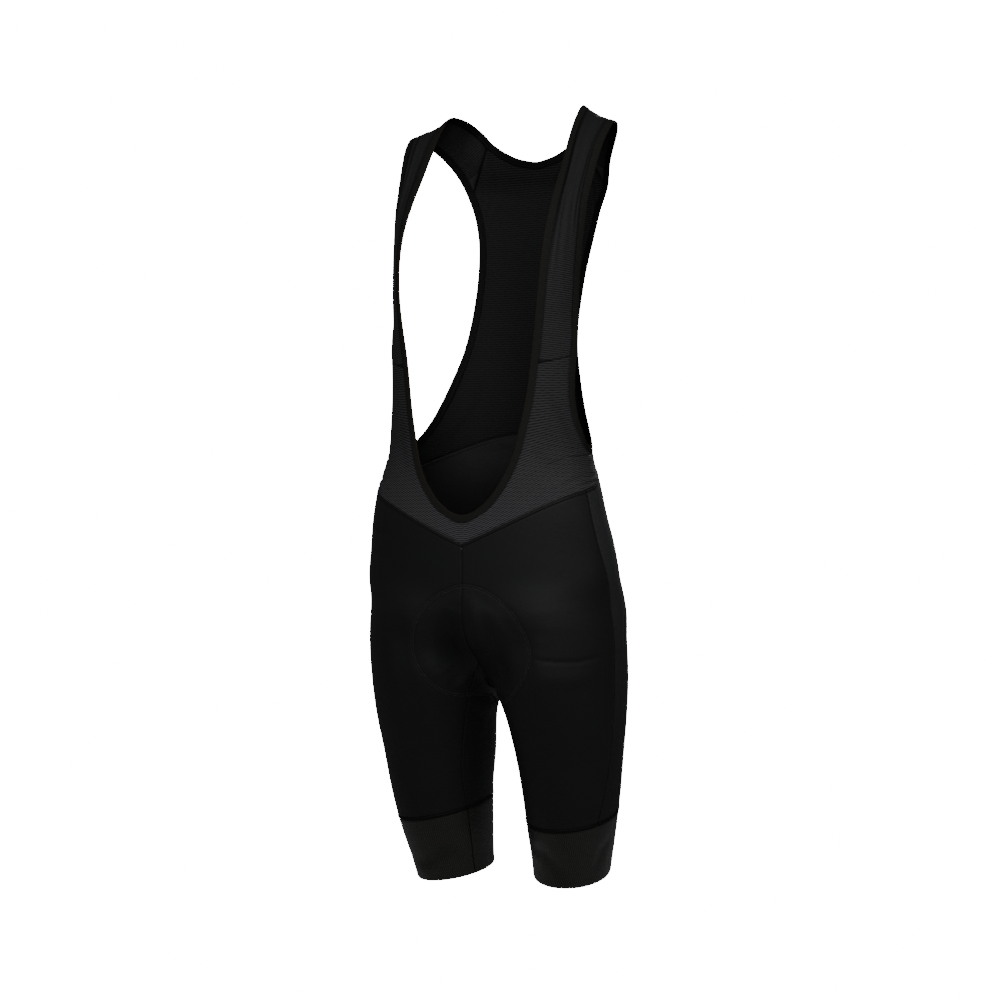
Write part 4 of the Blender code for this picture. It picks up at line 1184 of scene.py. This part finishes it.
class Loop:
    """A binding's smooth outer face: each station's free edge, middle and inner edge, and its normal."""

    def __init__(self, node):
        grid = loops[node]
        at, total = lengths_round(grid[:, 1])
        count = round(total / STEP)
        self.length, self.at = total, np.arange(count) * total / count
        self.points = ring_smooth(grid, at, total, self.at)
        self.across = unit(self.points[:, 2] - self.points[:, 0])
        along = unit(np.roll(self.points[:, 1], -1, axis=0) - np.roll(self.points[:, 1], 1, axis=0))
        self.normals = unit(np.cross(along, self.across))
        fine = np.cross(np.gradient(self.points, axis=0), np.gradient(self.points, axis=1))[:, 1]
        self.normals *= outward_sign(node, grid) * np.sign((self.normals * fine).sum())
        self.width = float(np.linalg.norm(self.points[:, 2] - self.points[:, 0], axis=1).mean())

    def place(self, share, height):
        """The line at this share of the width and this height over the outer face."""
        free, middle, inner = (self.points[:, k] for k in range(3))
        # A parabola through the three points of each station
        outer = free * (1 - share) * (1 - 2 * share) + middle * 4 * share * (1 - share)
        outer = outer + inner * share * (2 * share - 1)
        return outer + self.normals * height


# The section, as (share of the width, height in millimetres): first the warm black outer face, from the free
# edge inward, then the plain black inner face back again, which is narrower, with the cloth's edge between
# the two.
OUTER_FACE = [(0.0, -0.9), (0.04, -0.3), (0.1, 0.0), (0.17, 0.06), (0.23, -0.06), (0.32, 0.1), (0.5, 0.14)]
OUTER_FACE += [(0.68, 0.1), (0.77, -0.06), (0.83, 0.06), (0.93, 0.02), (0.985, -0.15), (1.0, -0.5)]
INNER_FACE = [(1.0, -1.6), (1.08, -1.9), (1.06, -2.3), (0.96, -2.45), (0.76, -2.4), (0.66, -2.25)]
INNER_FACE += [(0.56, -2.42), (0.3, -2.45), (0.12, -2.4), (0.03, -2.1), (0.0, -1.6)]
TAPE_MIDDLE = -1.15 * MM  # the height of the section's middle


edges = {node: Loop(node) for node in BINDINGS}
rounded_bottom(edges["neck_binding"].points, np.zeros(edges["neck_binding"].points.shape[:2]))
for node, edge in edges.items():
    profile = [(share, height * MM) for share, height in OUTER_FACE + INNER_FACE]
    points = np.stack([edge.place(share, height) for share, height in profile], axis=1)
    rows, cols = points.shape[:2]
    points = points.reshape(-1, 3)
    i, j = np.meshgrid(np.arange(rows), np.arange(cols), indexing="ij")
    i, j, below, beside = i.ravel(), j.ravel(), ((i + 1) % rows).ravel(), ((j + 1) % cols).ravel()
    faces = np.stack([i * cols + j, i * cols + beside, below * cols + beside, below * cols + j], axis=1)
    if faces_inward(points, faces, points[faces[:, 0]] - edge.place(0.5, TAPE_MIDDLE)[i]):
        faces = faces[:, ::-1]
    steps = [math.hypot((q[0] - p[0]) * edge.width, q[1] - p[1]) for p, q in zip(profile, profile[1:])]
    around = np.cumsum([0] + steps)
    uv = np.stack(np.broadcast_arrays(around[None, :], edge.at[:, None]), axis=2)
    made = mesh_object(node + "_elastic", points, faces, FABRIC["elastic"], uv.reshape(-1, 2))
    made.data.materials.append(FABRIC["elastic_inside"])
    on_inner_face = (j >= len(OUTER_FACE) - 1) & (j < cols - 1)
    made.data.polygons.foreach_set("material_index", on_inner_face.astype(int))
    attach(made, "root")
    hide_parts(node)
    SEEN[node] = made
print("bindings:", {node: round(edge.length, 3) for node, edge in edges.items()})

# %% [markdown]
# ## The padded insert
# The insert is moulded foam, thick in the middle and thin at its rim, with channels pressed in so that it
# bends. It could be blown up from a flat outline, but it has to lie against the inside of the cloth. So its
# outer face follows the cloth's creases, and its thickness is a rule of the distance from the rim.

# %% Pad
RIM_THICK, MIDDLE_THICK = 2.0, 6.8  # millimetres
RIM_SLOPE = 24 * MM  # how far in from the rim the foam grows to its full thickness
CHANNEL_PLACE, CHANNEL_WIDTH, CHANNEL_DEPTH = 0.42, 0.06, 1.6 * MM  # shares of half the width, and the depth
HOLLOW_WIDTH, HOLLOW_DEPTH = 0.14, 1.2 * MM

squeezed = crease_depth(pad_face)
face = pad_face - pad_normal * np.clip(squeezed, 0, None)[..., None]
row, col = np.meshgrid(np.linspace(-1, 1, len(pad_v)), np.linspace(-1, 1, len(pad_u)), indexing="ij")
rim = np.minimum((1 - abs(row)) * rows_at[-1] / 2, (1 - abs(col)) * cols_at[-1] / 2)
thick = (RIM_THICK + (MIDDLE_THICK - RIM_THICK) * eased(rim / RIM_SLOPE)) * MM
# Two channels run along the foam, where it bends, and a softer hollow down its middle
thick -= CHANNEL_DEPTH * ridge_at(abs(col), CHANNEL_PLACE, CHANNEL_WIDTH) * eased(rim / (20 * MM))
thick -= HOLLOW_DEPTH * ridge_at(col, 0, HOLLOW_WIDTH) * eased(rim / (30 * MM))
under = face - pad_normal * thick[..., None]
count = len(pad_v) * len(pad_u)
top_faces = quads(len(pad_v), len(pad_u))
ring = outline_of(np.arange(count).reshape(len(pad_v), len(pad_u)))
after = np.roll(ring, -1)
rim_faces = np.stack([after, ring, ring + count, after + count], axis=1)
pad_faces = np.vstack([top_faces, top_faces[:, ::-1] + count, rim_faces])
pad_points = np.vstack([face.reshape(-1, 3), under.reshape(-1, 3)])
if faces_inward(pad_points, top_faces, pad_normal.reshape(-1, 3)[top_faces[:, 0]]):
    pad_faces = pad_faces[:, ::-1]
flat_uv = np.stack(np.broadcast_arrays(pad_u[None, :], pad_v[:, None]), axis=2).reshape(-1, 2)
# Painted shade in the foam's channels, on its inner face
channel_shade = 0.4 * ridge_at(abs(col), CHANNEL_PLACE, 0.05) * eased(rim / (20 * MM))
pad_channel_shade = np.concatenate([np.zeros(count), channel_shade.ravel()])
pad_piece = mesh_object(
    "pad_foam_insert", pad_points, pad_faces, FABRIC["pad_foam"], np.vstack([flat_uv, flat_uv]), pad_channel_shade
)
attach(pad_piece, "root")
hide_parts("pad")
SEEN["pad"] = pad_piece
print("pad:", len(pad_faces), "faces")

# %% [markdown]
# ## Stitches
# The seams are overlocked or cover-stitched, and close by the eye sees single stitches. A bump map would do
# from afar, but it has no outline at the garment's edge. One stitch is a short bar with pointed ends, 24
# triangles. It is modelled once, and copies are laid along lines on the cloth and joined into one mesh for
# each seam.

# %% One stitch, and rows of it
RINGS = ((-0.5, 0.0), (-0.36, 1.0), (0.36, 1.0), (0.5, 0.0))  # share of the length, share of the radius
SIDES = 6


def one_stitch():
    """The stitch's points, as (along, sideways, up) with unit length and radius, and its faces."""
    angles = np.arange(SIDES) * 2 * math.pi / SIDES
    points = [(RINGS[0][0], 0, 0)]
    for along, size in RINGS[1:-1]:
        points += [(along, size * math.cos(angle), size * math.sin(angle)) for angle in angles]
    points.append((RINGS[-1][0], 0, 0))
    faces = []
    for k in range(SIDES):
        n = (k + 1) % SIDES
        faces += [(0, 1 + n, 1 + k), (1 + k, 1 + n, 1 + SIDES + n), (1 + k, 1 + SIDES + n, 1 + SIDES + k)]
        faces.append((1 + SIDES + k, 1 + SIDES + n, 1 + 2 * SIDES))
    return np.array(points), np.array(faces)


STITCH_POINTS, STITCH_FACES = one_stitch()


def even_steps(line, normals, pitch, closed=False):
    """Points, normals and directions at even steps of pitch along a line."""
    if closed:
        line, normals = np.vstack([line, line[:1]]), np.vstack([normals, normals[:1]])
    at = lengths_along(line)
    new = (np.arange(max(2, int(at[-1] / pitch))) + 0.5) * pitch
    read = [np.stack([np.interp(new, at, part[:, k]) for k in range(3)], axis=1) for part in (line, normals)]
    ahead = np.stack([np.interp(new + 0.4 * pitch, at, line[:, k]) for k in range(3)], axis=1)
    return read[0], unit(read[1]), unit(ahead - read[0])


def stitches(line, normals, pitch, length, radius, turns=(0,), aside=0.0, lift=0.12, closed=False):
    """Stitches along a line, as arrays of points and faces.

    Sizes are in millimetres: pitch from one stitch to the next, then each one's length and radius. turns are
    the angles in degrees between stitch and line, which repeat in order.
    """
    places, up, along = even_steps(line, normals, pitch * MM, closed)
    side = unit(np.cross(up, along))
    angle = np.radians(np.resize(turns, len(places)))[:, None]
    ahead = along * np.cos(angle) + side * np.sin(angle)
    beside = np.cross(up, ahead)
    centre = places + side * aside * MM + up * lift * MM
    local = STITCH_POINTS * (length * MM, radius * MM, 0.7 * radius * MM)
    axes = enumerate((ahead, beside, up))
    points = centre[:, None] + sum(local[None, :, k, None] * axis[:, None] for k, axis in axes)
    faces = STITCH_FACES[None] + np.arange(len(places))[:, None, None] * len(STITCH_POINTS)
    return points.reshape(-1, 3), faces.reshape(-1, 3)


def stitched_piece(name, rows, fabric="thread"):
    """One object of several rows of stitches."""
    points, faces, start = [], [], 0
    for row_points, row_faces in rows:
        points.append(row_points)
        faces.append(row_faces + start)
        start += len(row_points)
    made = mesh_object(name, np.vstack(points), np.vstack(faces), FABRIC[fabric])
    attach(made, "root")
    return len(made.data.polygons)


print("one stitch:", len(STITCH_POINTS), "points,", len(STITCH_FACES), "triangles")

# %% [markdown]
# A row of stitches runs beside a border of a panel. Projecting a curve onto the cloth would do, but each
# panel already knows how far its points lie from its borders. So the line is read from the shown cloth, a
# fixed distance in from the border, and the stitches lie on the creased surface.

# %% Stitches along the seams


def line_beside(node, border, inset):
    """Points and normals of the line that lies inset millimetres in from one border of a panel."""
    cloth = cloths[node]
    distance, shown, normals = getattr(cloth, "from_" + border), cloth.shown, cloth.normals
    if border in ("top", "bottom"):
        distance, shown, normals = distance.T, shown.swapaxes(0, 1), normals.swapaxes(0, 1)
    if border in ("right", "bottom"):
        distance, shown, normals = distance[:, ::-1], shown[:, ::-1], normals[:, ::-1]
    line, ups = [], []
    for d, p, n in zip(distance, shown, normals):
        line.append([np.interp(inset * MM, d, p[:, k]) for k in range(3)])
        ups.append([np.interp(inset * MM, d, n[:, k]) for k in range(3)])
    return np.array(line), np.array(ups)


made_stitches = {}
waist = []
for side in ("left", "right"):
    for part in ("front_", "side_", "seat_"):
        for inset in (1.5, 3.7):
            waist.append(stitches(*line_beside(part + side, "top", inset), 2.4, 1.9, 0.22, lift=0.05))
made_stitches["waist"] = stitched_piece("waist_seam_stitches", waist)

for side in ("left", "right"):
    cover = []
    for part in ("front_", "side_", "seat_"):
        cover.append(stitches(*line_beside(part + side, "bottom", 2.4), 1.5, 4.3, 0.3, turns=(62, -62)))
        for inset in (0.5, 4.4):
            cover.append(stitches(*line_beside(part + side, "bottom", inset), 2.2, 1.9, 0.3))
    made_stitches["gripper " + side] = stitched_piece("gripper_cover_stitches_" + side, cover)

# Centre seams, inner legs and side seams: stitches that cross the seam, flat
crossing = dict(turns=(72, 90), lift=0.35)
middle = stitches(*line_beside("front_left", "left", 0.2), 2.2, 2.2, 0.2, **crossing)
behind = stitches(*line_beside("seat_left", "left", 0.2), 2.2, 2.2, 0.2, **crossing)
made_stitches["middle"] = stitched_piece("centre_seam_stitches", [middle, behind])
# One small tack just below the point of the waist seam
line, normals = line_beside("front_left", "left", 0.3)
below = cloths["front_left"].from_top[:, 0] / MM
near = (below > 4.5) & (below < 9.5)
tack = stitches(line[near], normals[near], 1.6, 2.4, 0.22, turns=(70, 105), lift=0.4)
made_stitches["tack"] = stitched_piece("centre_tack", [tack], "pale_thread")
for side in ("left", "right"):
    rows = []
    for border in ("left", "right"):
        rows.append(stitches(*line_beside("side_" + side, border, 0.3), 2.0, 2.0, 0.22, **crossing))
    made_stitches["side " + side] = stitched_piece("side_seam_stitches_" + side, rows)
    rows = []
    for border in ("left", "right"):
        rows.append(stitches(*line_beside("gripper_" + side, border, 0.8), 2.2, 1.8, 0.3))
    for border in ("top", "bottom"):
        rows.append(stitches(*line_beside("strap_" + side, border, 1.6), 2.2, 1.8, 0.26))
    made_stitches["ends " + side] = stitched_piece("gripper_and_strap_stitches_" + side, rows)
print("stitch triangles:", made_stitches)

# %% [markdown]
# The insert is held by a flat seam of two needle rows with threads that cross between them, like a ladder.
# The seam's line lies near the foam, not on the cloth, so each of its points is carried to the nearest point
# of the cloth and the line is smoothed.

# %% The insert's ladder stitch
from mathutils import Vector
from mathutils.bvhtree import BVHTree

shell_points, shell_faces, shell_start = [], [], 0
for node in ("front_left", "front_right", "seat_left", "seat_right"):
    rows, cols = cloths[node].shown.shape[:2]
    shell_points.append(cloths[node].shown.reshape(-1, 3))
    shell_faces.append(quads(rows, cols) + shell_start)
    shell_start += rows * cols
shell = BVHTree.FromPolygons(np.vstack(shell_points).tolist(), np.vstack(shell_faces).tolist())
border_normals = pad_normal.reshape(-1, 3)
carried, ups = [], []
for point in insert_seam:
    normal = border_normals[face_tree.find(point)[1]]
    place, up, _, _ = shell.find_nearest(Vector(point + normal * 1.5 * MM))
    up = np.array(up)
    carried.append(np.array(place))
    ups.append(up * np.sign(up @ normal))
carried, ups = np.array(carried), np.array(ups)
for _ in range(6):
    carried = (np.roll(carried, 1, axis=0) + 2 * carried + np.roll(carried, -1, axis=0)) / 4
    ups = unit((np.roll(ups, 1, axis=0) + 2 * ups + np.roll(ups, -1, axis=0)) / 4)
for number, point in enumerate(carried):
    place, _, _, _ = shell.find_nearest(Vector(point))
    carried[number] = np.array(place)
ladder = [
    stitches(carried, ups, 2.4, 2.0, 0.34, aside=-1.5, lift=0.25, closed=True),  # two needle rows
    stitches(carried, ups, 2.4, 2.0, 0.34, aside=1.5, lift=0.25, closed=True),
    stitches(carried, ups, 2.4, 2.8, 0.24, turns=(78, 102), lift=0.2, closed=True),  # the rungs between them
]
print("ladder stitch:", stitched_piece("insert_ladder_stitches", ladder, "light_thread"), "triangles")
